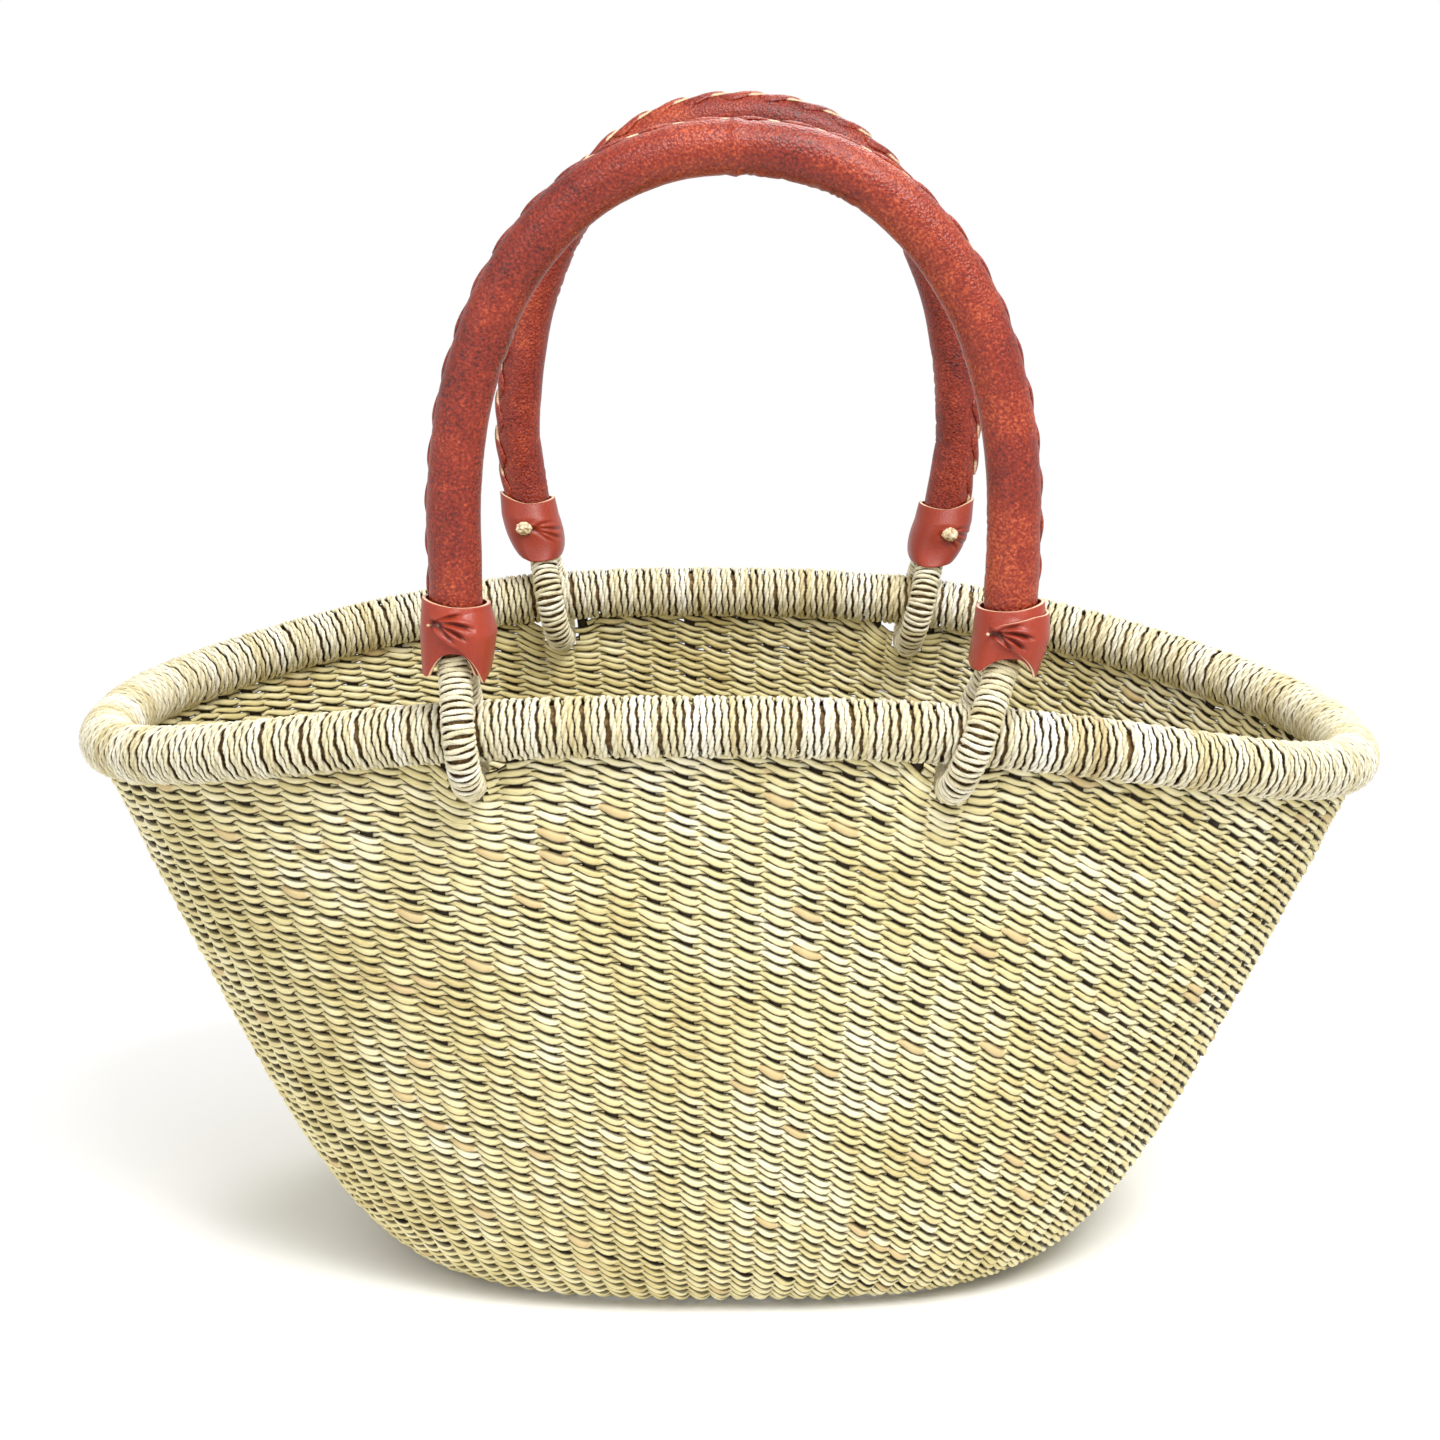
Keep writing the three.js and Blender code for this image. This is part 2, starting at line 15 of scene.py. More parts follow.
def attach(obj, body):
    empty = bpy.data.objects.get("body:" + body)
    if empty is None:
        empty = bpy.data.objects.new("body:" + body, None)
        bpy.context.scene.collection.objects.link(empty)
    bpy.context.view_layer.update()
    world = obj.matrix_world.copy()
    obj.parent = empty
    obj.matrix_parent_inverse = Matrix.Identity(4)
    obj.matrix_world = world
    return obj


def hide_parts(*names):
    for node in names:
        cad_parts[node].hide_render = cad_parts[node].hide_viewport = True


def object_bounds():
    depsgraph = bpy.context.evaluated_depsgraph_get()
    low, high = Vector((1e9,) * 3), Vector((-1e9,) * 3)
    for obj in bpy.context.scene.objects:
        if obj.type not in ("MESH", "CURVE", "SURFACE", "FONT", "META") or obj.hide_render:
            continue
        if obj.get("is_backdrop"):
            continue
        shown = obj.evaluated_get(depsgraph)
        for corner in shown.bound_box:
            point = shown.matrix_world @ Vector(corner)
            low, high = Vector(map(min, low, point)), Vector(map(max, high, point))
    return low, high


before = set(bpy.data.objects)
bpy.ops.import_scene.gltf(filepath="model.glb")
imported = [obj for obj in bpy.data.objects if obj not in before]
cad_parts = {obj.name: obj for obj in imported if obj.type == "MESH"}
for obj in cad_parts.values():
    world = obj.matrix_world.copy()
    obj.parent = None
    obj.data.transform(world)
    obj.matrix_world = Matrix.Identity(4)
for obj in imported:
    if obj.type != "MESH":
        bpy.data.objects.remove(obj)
cad_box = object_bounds()

MM = 0.001
TURN = 2 * math.pi

# ---- Sizes of the basket, as the frame has them --------------------------------------------------

RIM_SEMI_LENGTH = 205 * MM
RIM_SEMI_WIDTH = 112 * MM
RIM_POWER = 2.54
RIM_SIDE_HEIGHT = 193.5 * MM
RIM_END_HEIGHT = 166.7 * MM
RIM_TILT = 2.9 * MM
RIM_SHOULDER_DIP = 1.5 * MM

WEAVE_MIDDLE = 3.2 * MM
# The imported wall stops 7.4 mm under the rim's line. The courses run on into the binding.
WALL_DROP = 6.0 * MM
BASE_SEMI_LENGTH = 100 * MM
BASE_SEMI_WIDTH = 86 * MM
BASE_POWER = 2.9
HEEL_SEMI_LENGTH = 130 * MM
HEEL_SEMI_WIDTH = 109 * MM
FLARE_SEMI_LENGTH = 154 * MM
FLARE_SEMI_WIDTH = 116 * MM
FLARE_END_HEIGHT = 54 * MM
FLARE_SIDE_HEIGHT = 84 * MM

LOOP_RADIUS = 5.1 * MM
LOOP_RING_RADIUS = 15.7 * MM
LOOP_LEG_OFFSET = 5.6 * MM
LOOP_TOP_LENGTH = 25.5 * MM
LOOP_RELEASE_ANGLE = math.radians(30)
LOOP_BEND = 0.4

SLEEVE_BORE_RADIUS = 7.0 * MM
SLEEVE_RADIUS = 8.2 * MM
SLEEVE_START = 31 * MM
ARCH_SPRING_HEIGHT = 59 * MM
ARCH_POWER = 2.2
LACING_TURN = math.radians(22)
LACING_END_GAP = 2.2 * MM
STITCH_TURN = math.radians(10)

CUFF_THICKNESS = 1.3 * MM
FLAP_THICKNESS = 1.0 * MM
CUFF_TOP_RADIUS = 9.97 * MM
CUFF_HEM_EASE = 4.3 * MM
TIE_HEIGHT = 29.1 * MM
PINCH_OFFSET = -6.2 * MM
PINCH_DEPTH = 1.3 * MM
PINCH_RADIUS = 1.1 * MM
# The creases that run from a pinch: bearing in degrees, reach and depth in millimetres.
PINCH_CREASES = ((22, 9.5, 1.2), (4, 13.0, 1.5), (-14, 12.0, 1.4), (-32, 9.5, 1.1))

HANDLES = [
    dict(
        name="front", side=-1, height=170, arch_middle=0.5, arch_half_span=81.5,
        cuff_bottom=19.5, cuff_top=41, loops=(-78.7, 71.2), leg_tops=(-81.4, 80.5),
        hems=(-81.1, 79), sleeve_ends=(-80.5, 81.5),
    ),
    dict(
        name="back", side=1, height=176, arch_middle=2.5, arch_half_span=80.5,
        cuff_bottom=16, cuff_top=38, loops=(-65.2, 70.3), leg_tops=(-70.5, 76),
        hems=(-69.5, 74.6), sleeve_ends=(-73.8, 79),
    ),
]

# ---- Sizes of the weave and the cords ------------------------------------------------------------

STAKES = 106
STAKE_GUIDE_STEPS = 4
COURSE_PITCH = 3.05 * MM
COURSE_TILT = 19 * MM
STRAND_REACH = 1.15 * MM
STRAND_DIP = 0.95 * MM
STRAND_SAG = 0.45 * MM
STRAND_HALF_HEIGHT = 1.44 * MM
STRAND_HALF_THICKNESS = 1.2 * MM
STAKE_HALF_WIDTH = 2.3 * MM
STAKE_HALF_THICKNESS = 0.8 * MM
STRAND_CLEARANCE = 5.1 * MM
STAKE_CLEARANCE = 6.2 * MM
# The wall's courses are made in bands, so that no piece grows too heavy.
BANDS = 7

# A strand's section over its swing: rounder past a stake, slimmer where two strands cross.
STRAND_ROUNDING = 0.8
CROSSING_SWELL = 0.66
SPLICED_SHARE = 0.025
SPLICE_SWELL = 0.25

# What differs from stitch to stitch: fullness, drop in millimetres, tone, and how proud it stands.
STITCH_CHANCES = ((0.84, 1.16), (-0.32, 0.32), (0.0, 1.0), (0.85, 1.15))
STITCHES_PER_COURSE = 4096.0
FIBRE_SHIFT = 0.173

# How courses wander up and down round the basket, and apart from one another.
COURSE_WANDER = 1.6 * MM
WANDER_PER_STAKE = 0.11
WANDER_PER_COURSE = 0.37

# How the courses dip under a rope loop, and how much of that stays open as an eye under the rim.
LOOP_DIP = 7.5 * MM
LOOP_DIP_HALF_WIDTH = 13 * MM
LOOP_DIP_DEPTH = 32 * MM
LOOP_DIP_RISE = 40 * MM
EYE_SHARE = 0.5

# The base: rings of its size, with their stakes and steps per stake. The stakes double in number twice.
BASE_RINGS = ((0.05, 0.28, 26, 6), (0.28, 0.55, 52, 5), (0.55, 1.0, STAKES, 4))
BASE_STRAND_HALF_HEIGHT = 1.7 * MM

RIM_WRAPS = 480
RIM_PARTS = 3
RIM_GUIDE_RADIUS = 8.25 * MM
LOOP_GUIDE_RADIUS = 4.2 * MM
LOOP_WRAP_PITCH = 1.9 * MM
STITCH_PITCH = 12.4 * MM


# ---- Curves --------------------------------------------------------------------------------------

def bezier(a, b, c, d, t):
    s = 1 - t
    return s**3 * a + 3 * s * s * t * b + 3 * s * t * t * c + t**3 * d


def oval(turn, semi_length, semi_width, power):
    """A point on an oval whose corners fill out as the power grows past 2."""
    along, across = np.cos(turn), np.sin(turn)
    x = semi_length * np.sign(along) * np.abs(along) ** (2 / power)
    y = semi_width * np.sign(across) * np.abs(across) ** (2 / power)
    return x, y


def rim_height(turn):
    end = np.cos(turn) ** 2
    saddle = RIM_END_HEIGHT * end + RIM_SIDE_HEIGHT * (1 - end)
    return saddle - RIM_TILT * np.cos(turn) - RIM_SHOULDER_DIP * (1 - np.cos(4 * turn))


def rim_place(turn):
    x, y = oval(turn, RIM_SEMI_LENGTH, RIM_SEMI_WIDTH, RIM_POWER)
    return np.stack([x, y, rim_height(turn)], -1)


def base_place(turn):
    return np.stack(oval(turn, BASE_SEMI_LENGTH, BASE_SEMI_WIDTH, BASE_POWER), -1)


def wall_place(turn, rise):
    """The weave's middle surface, from rise 0 at the base to 1 under the rim."""
    length = bezier(BASE_SEMI_LENGTH, HEEL_SEMI_LENGTH, FLARE_SEMI_LENGTH, RIM_SEMI_LENGTH, rise)
    width = bezier(BASE_SEMI_WIDTH, HEEL_SEMI_WIDTH, FLARE_SEMI_WIDTH, RIM_SEMI_WIDTH, rise)
    power = BASE_POWER + (RIM_POWER - BASE_POWER) * rise
    x, y = oval(turn, length, width, power)
    end = np.cos(turn) ** 2
    flare = FLARE_END_HEIGHT * end + FLARE_SIDE_HEIGHT * (1 - end)
    z = bezier(WEAVE_MIDDLE, WEAVE_MIDDLE, flare, rim_height(turn) - WALL_DROP, rise)
    return np.stack([x, y, z], -1)


def unit(vectors):
    return vectors / np.maximum(np.linalg.norm(vectors, axis=-1, keepdims=True), 1e-12)


def even_turns(place, shares):
    """Angles that divide a closed line into the given shares of its length."""
    turns = np.linspace(0, TURN, 4001)
    points = place(turns)
    steps = np.linalg.norm(np.diff(points, axis=0), axis=1)
    travelled = np.concatenate([[0], np.cumsum(steps)])
    return np.interp(shares, travelled / travelled[-1], turns)


def resampled(points, spacing):
    """The same open line with evenly spaced points."""
    steps = np.linalg.norm(np.diff(points, axis=0), axis=1)
    travelled = np.concatenate([[0], np.cumsum(steps)])
    count = max(int(round(travelled[-1] / spacing)), 2) + 1
    wanted = np.linspace(0, travelled[-1], count)
    return np.stack([np.interp(wanted, travelled, points[:, k]) for k in range(3)], -1)


def tangents(points, closed=False):
    if closed:
        return unit(np.roll(points, -1, 0) - np.roll(points, 1, 0))
    return unit(np.gradient(points, axis=0))


def lumps(points, size, seed):
    """Smooth noise from -1 to 1 at each point, with lumps of the given size."""
    shift = Vector((seed * 7.13, seed * 3.71, seed * 1.37))
    values = [noise.noise(Vector(point) / size + shift) for point in points.reshape(-1, 3)]
    return np.array(values).reshape(points.shape[:-1])


# ---- Meshes --------------------------------------------------------------------------------------

def grid_mesh(name, places, wraps_across=False, wraps_along=False, capped=False):
    """A mesh over rows of points. It can close on itself along its rows, across them, or at its ends."""
    rows, columns = places.shape[:2]
    row_steps = rows if wraps_across else rows - 1
    column_steps = columns if wraps_along else columns - 1
    i, j = np.meshgrid(np.arange(row_steps), np.arange(column_steps), indexing="ij")
    i_next, j_next = (i + 1) % rows, (j + 1) % columns
    corners = [i * columns + j, i * columns + j_next, i_next * columns + j_next, i_next * columns + j]
    faces = np.stack(corners, -1).reshape(-1, 4).tolist()
    if capped:
        faces.append(list(range(columns))[::-1])
        faces.append([(rows - 1) * columns + k for k in range(columns)])
    mesh = bpy.data.meshes.new(name)
    mesh.from_pydata(places.reshape(-1, 3).tolist(), [], faces)
    mesh.shade_smooth()
    return mesh


def face_out(mesh):
    """Turns a closed mesh's faces outwards."""
    work = bmesh.new()
    work.from_mesh(mesh)
    bmesh.ops.recalc_face_normals(work, faces=work.faces)
    work.to_mesh(mesh)
    work.free()


def add_values(mesh, name, values, kind="FLOAT"):
    attribute = mesh.attributes.new(name, kind, "POINT")
    field = "vector" if kind == "FLOAT_VECTOR" else "value"
    attribute.data.foreach_set(field, np.asarray(values, np.float32).ravel())


def piece(name, mesh, material, body, slot, *stands_for):
    """A finished piece: it rides on a body, and stands for its CAD nodes."""
    obj = bpy.data.objects.new(name, mesh)
    bpy.context.scene.collection.objects.link(obj)
    if material is not None:
        mesh.materials.clear()
        mesh.materials.append(material)
    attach(obj, body)
    if stands_for:
        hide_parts(*stands_for)
    return obj


# ---- Node trees ----------------------------------------------------------------------------------

MATH = "ShaderNodeMath"
VECTOR_MATH = "ShaderNodeVectorMath"
COMBINE = "ShaderNodeCombineXYZ"
SEPARATE = "ShaderNodeSeparateXYZ"
NOISE = "ShaderNodeTexNoise"
MAP_RANGE = "ShaderNodeMapRange"
MIX = "ShaderNodeMix"
RAMP = "ShaderNodeValToRGB"
BUMP = "ShaderNodeBump"
COORDINATES = "ShaderNodeTexCoord"
SHADER_ATTRIBUTE = "ShaderNodeAttribute"
RANDOM = "FunctionNodeRandomValue"
READ = "GeometryNodeInputNamedAttribute"
STORE = "GeometryNodeStoreNamedAttribute"
SET_POSITION = "GeometryNodeSetPosition"
INSTANCES = "GeometryNodeInstanceOnPoints"
REALIZE = "GeometryNodeRealizeInstances"
POINT_LINE = "GeometryNodeMeshLine"
CURVE_NORMAL = "GeometryNodeSetCurveNormal"
SWEEP = "GeometryNodeCurveToMesh"
CIRCLE = "GeometryNodeCurvePrimitiveCircle"


def add(tree, kind, inputs=(), out=0, stops=(), **settings):
    """Adds a node with its settings and links, and returns one of its outputs."""
    node = tree.nodes.new(kind)
    for name, value in settings.items():
        setattr(node, name, value)
    if stops:
        band = node.color_ramp
        for place, code in stops[1:-1]:
            band.elements.new(place)
        for element, (place, code) in zip(band.elements, stops):
            element.position = place
            element.color = colour(code)
    enabled = [socket for socket in node.inputs if socket.enabled]
    pairs = inputs.items() if isinstance(inputs, dict) else enumerate(inputs)
    for key, value in pairs:
        named = isinstance(key, str)
        socket = next(s for s in enabled if s.name == key) if named else enabled[key]
        if isinstance(value, bpy.types.NodeSocket):
            tree.links.new(value, socket)
        elif value is not None:
            socket.default_value = value
    outputs = [socket for socket in node.outputs if socket.enabled]
    return outputs[out] if isinstance(out, int) else next(s for s in outputs if s.name == out)


def geometry_tree(name, numbers, whole_numbers=(), objects=()):
    """An empty tree with named inputs: lengths and shares, whole numbers, objects and a material."""
    tree = bpy.data.node_groups.new(name, "GeometryNodeTree")
    tree.interface.new_socket("Geometry", in_out="INPUT", socket_type="NodeSocketGeometry")
    for label in numbers:
        tree.interface.new_socket(label, in_out="INPUT", socket_type="NodeSocketFloat")
    for label in whole_numbers:
        tree.interface.new_socket(label, in_out="INPUT", socket_type="NodeSocketInt")
    for label in objects:
        tree.interface.new_socket(label, in_out="INPUT", socket_type="NodeSocketObject")
    tree.interface.new_socket("Material", in_out="INPUT", socket_type="NodeSocketMaterial")
    tree.interface.new_socket("Geometry", in_out="OUTPUT", socket_type="NodeSocketGeometry")
    sizes = tree.nodes.new("NodeGroupInput").outputs
    return tree, {socket.name: socket for socket in sizes if socket.name}


def finish_tree(tree, geometry, material):
    """Every tree ends with real, smooth faces that carry their material."""
    geometry = add(tree, REALIZE, [geometry])
    geometry = add(tree, "GeometryNodeSetShadeSmooth", {"Geometry": geometry})
    geometry = add(tree, "GeometryNodeSetMaterial", {"Geometry": geometry, "Material": material})
    output = tree.nodes.new("NodeGroupOutput")
    tree.links.new(geometry, output.inputs[0])


def grown(name, source, tree, values):
    """Runs a tree on a source mesh and returns the result as a plain mesh."""
    obj = bpy.data.objects.new(name, source)
    bpy.context.scene.collection.objects.link(obj)
    modifier = obj.modifiers.new(tree.name, "NODES")
    modifier.node_group = tree
    for item in tree.interface.items_tree:
        if item.in_out == "INPUT" and item.name in values:
            modifier[item.identifier] = values[item.name]
    bpy.context.view_layer.update()
    graph = bpy.context.evaluated_depsgraph_get()
    mesh = bpy.data.meshes.new_from_object(obj.evaluated_get(graph))
    obj.modifiers.remove(modifier)
    bpy.data.objects.remove(obj)
    mesh.name = name
    return mesh


def sampled(tree, guide, attribute, across, up):
    """A vector attribute of the guide surface at a place given by its share across and up."""
    value = add(tree, READ, [attribute], data_type="FLOAT_VECTOR")
    layout = add(tree, READ, ["layout"], data_type="FLOAT_VECTOR")
    place = add(tree, COMBINE, [across, up])
    return add(tree, "GeometryNodeSampleUVSurface", [guide, value, layout, place], data_type="FLOAT_VECTOR")


def lattice(tree, points, lines):
    """Closed rings of points, with each point's number along its ring and its ring's number."""
    ring = add(tree, "GeometryNodeMeshCircle", [points, 1.0])
    row = add(tree, POINT_LINE, [lines])
    rings = add(tree, REALIZE, [add(tree, INSTANCES, {"Points": row, "Instance": ring})])
    index = add(tree, "GeometryNodeInputIndex")
    step = add(tree, MATH, [index, points], operation="FLOORED_MODULO")
    line = add(tree, MATH, [index, points], operation="DIVIDE")
    line = add(tree, MATH, [line], operation="FLOOR")
    return rings, step, line


def near_loops(tree, size):
    """Whether a point lies within the clearance of a rope loop."""
    loops = add(tree, "GeometryNodeObjectInfo", {"Object": size["Loops"]}, out="Geometry")
    distance = add(tree, "GeometryNodeProximity", {"Geometry": loops}, out="Distance",
                   target_element="EDGES")
    return add(tree, MATH, [distance, size["Loop clearance"]], operation="LESS_THAN")


def facing_curves(tree, points):
    """The lines of a mesh as curves whose sections are turned to face outwards."""
    lines = add(tree, "GeometryNodeMeshToCurve", [points])
    across = add(tree, READ, ["across"], data_type="FLOAT_VECTOR")
    return add(tree, CURVE_NORMAL, {"Curve": lines, "Normal": across}, mode="FREE")


def stitch_height(tree, size, course, stake, lift, swing, drop):
    """How far up the wall a strand runs: its course, its dip and sag, and what the hand varies."""
    share = add(tree, MATH, [stake, size["Stakes"]], operation="DIVIDE")
    slope = add(tree, MATH, [share, TURN], operation="MULTIPLY")
    slope = add(tree, MATH, [slope], operation="COSINE")
    slope = add(tree, MATH, [size["Course tilt"], slope], operation="MULTIPLY")
    along = add(tree, MATH, [stake, WANDER_PER_STAKE], operation="MULTIPLY")
    along = add(tree, MATH, [course, WANDER_PER_COURSE, along], operation="MULTIPLY_ADD")
    wander = add(tree, NOISE, {"W": along, "Scale": 1.0, "Detail": 1.0}, noise_dimensions="1D")
    wander = add(tree, MATH, [wander, 0.5], operation="SUBTRACT")
    middle = add(tree, MATH, [course, 0.5], operation="ADD")
    height = add(tree, MATH, [middle, size["Course pitch"]], operation="MULTIPLY")
    height = add(tree, MATH, [height, slope], operation="SUBTRACT")
    dip = add(tree, MATH, [size["Dip"], lift], operation="MULTIPLY")
    height = add(tree, MATH, [height, dip], operation="SUBTRACT")
    sag = add(tree, MATH, [swing, swing], operation="MULTIPLY")
    sag = add(tree, MATH, [size["Sag"], sag], operation="MULTIPLY")
    height = add(tree, MATH, [height, sag], operation="SUBTRACT")
    height = add(tree, MATH, [drop, MM, height], operation="MULTIPLY_ADD")
    return add(tree, MATH, [wander, COURSE_WANDER, height], operation="MULTIPLY_ADD"), share


def twining_tree():
    """Two-strand twining: both strands of every course go round the stakes and cross between them."""
    numbers = ["Course pitch", "Course tilt", "Wall length", "Reach", "Dip", "Sag", "Half height",
               "Half thickness", "Lowest", "Highest", "Loop clearance"]
    whole = ["Stakes", "Steps", "First course", "Courses", "Facets", "Seed"]
    tree, size = geometry_tree("twined_weave", numbers, whole, ["Loops"])

    # Each course is two rings of points, half a turn of the twist apart.
    points = add(tree, MATH, [size["Stakes"], size["Steps"]], operation="MULTIPLY")
    lines = add(tree, MATH, [size["Courses"], 2.0], operation="MULTIPLY")
    rings, step, line = lattice(tree, points, lines)
    stake = add(tree, MATH, [step, size["Steps"]], operation="DIVIDE")
    strand = add(tree, MATH, [line, 2.0], operation="FLOORED_MODULO")
    course = add(tree, MATH, [line, 2.0], operation="DIVIDE")
    course = add(tree, MATH, [course], operation="FLOOR")
    course = add(tree, MATH, [course, size["First course"]], operation="ADD")
    phase = add(tree, MATH, [stake, strand], operation="ADD")
    phase = add(tree, MATH, [phase, math.pi], operation="MULTIPLY")
    swing = add(tree, MATH, [phase], operation="COSINE")
    lift = add(tree, MATH, [phase], operation="SINE")

    # One number for each stitch, for what differs from stitch to stitch.
    stitch = add(tree, MATH, [stake, 0.5], operation="ADD")
    stitch = add(tree, MATH, [stitch], operation="FLOOR")
    stitch = add(tree, MATH, [stitch, 2.0, strand], operation="MULTIPLY_ADD")
    stitch = add(tree, MATH, [course, STITCHES_PER_COURSE, stitch], operation="MULTIPLY_ADD")
    chances = []
    for number, (low, high) in enumerate(STITCH_CHANCES):
        seed = add(tree, MATH, [size["Seed"], number + 1.0], operation="ADD")
        chances.append(add(tree, RANDOM, {"Min": low, "Max": high, "ID": stitch, "Seed": seed}))
    fullness, drop, tone, proud = chances
    spliced = add(tree, MATH, [tone, 1 - SPLICED_SHARE], operation="GREATER_THAN")

    height, share = stitch_height(tree, size, course, stake, lift, swing, drop)
    up = add(tree, MATH, [height, size["Wall length"]], operation="DIVIDE")
    push = add(tree, SEPARATE, [sampled(tree, size["Geometry"], "push", share, up)])
    up = add(tree, MATH, [up, push], operation="SUBTRACT")
    place = sampled(tree, size["Geometry"], "place", share, up)
    across = sampled(tree, size["Geometry"], "across", share, up)

    # A strand stands proud of the wall over a stake, and is fullest there.
    outside = add(tree, MATH, [swing], operation="ABSOLUTE")
    rounded = add(tree, MATH, [outside, STRAND_ROUNDING], operation="POWER")
    side = add(tree, MATH, [swing], operation="SIGN")
    bulge = add(tree, MATH, [side, rounded], operation="MULTIPLY")
    reach = add(tree, MATH, [size["Reach"], bulge], operation="MULTIPLY")
    reach = add(tree, MATH, [reach, proud], operation="MULTIPLY")
    place = add(tree, VECTOR_MATH, [across, reach, place], operation="MULTIPLY_ADD")
    swell = add(tree, MATH, [rounded, 1 - CROSSING_SWELL, CROSSING_SWELL], operation="MULTIPLY_ADD")
    swell = add(tree, MATH, [swell, fullness], operation="MULTIPLY")
    splice = add(tree, MATH, [spliced, SPLICE_SWELL, 1.0], operation="MULTIPLY_ADD")
    swell = add(tree, MATH, [swell, splice], operation="MULTIPLY")
    fibre = add(tree, MATH, [stitch, FIBRE_SHIFT], operation="MULTIPLY")
    fibre = add(tree, COMBINE, [stake, fibre, line])

    # Courses that are drawn down beside a loop leave an eye open under the rim.
    eye = add(tree, MATH, [push, EYE_SHARE, up], operation="MULTIPLY_ADD")
    over = add(tree, MATH, [eye, size["Highest"]], operation="GREATER_THAN")
    under = add(tree, MATH, [up, size["Lowest"]], operation="LESS_THAN")
    beyond = add(tree, MATH, [under, over], operation="MAXIMUM")

    # A tree's inputs are read anew once the points have moved, so these are stored first.
    for label, value, kind in (("swell", swell, "FLOAT"), ("tone", tone, "FLOAT"),
                               ("spliced", spliced, "FLOAT"), ("fibre", fibre, "FLOAT_VECTOR"),
                               ("across", across, "FLOAT_VECTOR"), ("beyond", beyond, "FLOAT")):
        rings = add(tree, STORE, {"Geometry": rings, "Name": label, "Value": value}, data_type=kind)
    placed = add(tree, SET_POSITION, {"Geometry": rings, "Position": place})

    # The strands stop at the rim, at the base and at the openings of the rope loops.
    beyond = add(tree, READ, ["beyond"], data_type="FLOAT")
    cut = add(tree, MATH, [beyond, near_loops(tree, size)], operation="MAXIMUM")
    kept = add(tree, "GeometryNodeDeleteGeometry", {"Geometry": placed, "Selection": cut})
    lines = facing_curves(tree, kept)

    section = add(tree, CIRCLE, {"Resolution": size["Facets"], "Radius": 1.0})
    # Each section point keeps how far it lies towards either edge of the strand. From this the grass
    # material paints shade along the edges.
    low_edge = add(tree, SEPARATE, [add(tree, "GeometryNodeInputPosition")], out="Y")
    section = add(tree, STORE, {"Geometry": section, "Name": "low_edge", "Value": low_edge},
                  data_type="FLOAT")
    flat = add(tree, COMBINE, [size["Half thickness"], size["Half height"], 1.0])
    section = add(tree, "GeometryNodeTransform", {"Geometry": section, "Scale": flat})
    swell = add(tree, READ, ["swell"], data_type="FLOAT")
    tubes = add(tree, SWEEP, {"Curve": lines, "Profile Curve": section, "Scale": swell, "Fill Caps": True})
    finish_tree(tree, tubes, size["Material"])
    return tree


def stake_tree():
    """Upright stakes from the base to the rim, a rib under each column of stitches."""
    numbers = ["Half width", "Half thickness", "Highest", "Loop clearance"]
    tree, size = geometry_tree("weave_stakes", numbers, ["Stakes", "Steps", "Facets"], ["Loops"])
    line = add(tree, POINT_LINE, [size["Steps"]])
    row = add(tree, POINT_LINE, [size["Stakes"]])
    uprights = add(tree, REALIZE, [add(tree, INSTANCES, {"Points": row, "Instance": line})])
    index = add(tree, "GeometryNodeInputIndex")
    stake = add(tree, MATH, [index, size["Steps"]], operation="DIVIDE")
    stake = add(tree, MATH, [stake], operation="FLOOR")
    share = add(tree, MATH, [stake, size["Stakes"]], operation="DIVIDE")
    step = add(tree, MATH, [index, size["Steps"]], operation="FLOORED_MODULO")
    last = add(tree, MATH, [size["Steps"], 1.0], operation="SUBTRACT")
    up = add(tree, MATH, [step, last], operation="DIVIDE")
    up = add(tree, MATH, [size["Highest"], up], operation="MULTIPLY")
    place = sampled(tree, size["Geometry"], "place", share, up)
    across = sampled(tree, size["Geometry"], "across", share, up)
    fibre = add(tree, COMBINE, [up, stake, 0.0])
    # Every stake is marked as behind, so the grass material paints it all in the shade colour.
    for label, value, kind in (("behind", 1.0, "FLOAT"), ("fibre", fibre, "FLOAT_VECTOR"),
                               ("across", across, "FLOAT_VECTOR")):
        uprights = add(tree, STORE, {"Geometry": uprights, "Name": label, "Value": value}, data_type=kind)
    placed = add(tree, SET_POSITION, {"Geometry": uprights, "Position": place})
    cut = near_loops(tree, size)
    kept = add(tree, "GeometryNodeDeleteGeometry", {"Geometry": placed, "Selection": cut})
    lines = facing_curves(tree, kept)
    section = add(tree, CIRCLE, {"Resolution": size["Facets"], "Radius": 1.0})
    flat = add(tree, COMBINE, [size["Half thickness"], size["Half width"], 1.0])
    section = add(tree, "GeometryNodeTransform", {"Geometry": section, "Scale": flat})
    tubes = add(tree, SWEEP, {"Curve": lines, "Profile Curve": section, "Fill Caps": True})
    finish_tree(tree, tubes, size["Material"])
    return tree


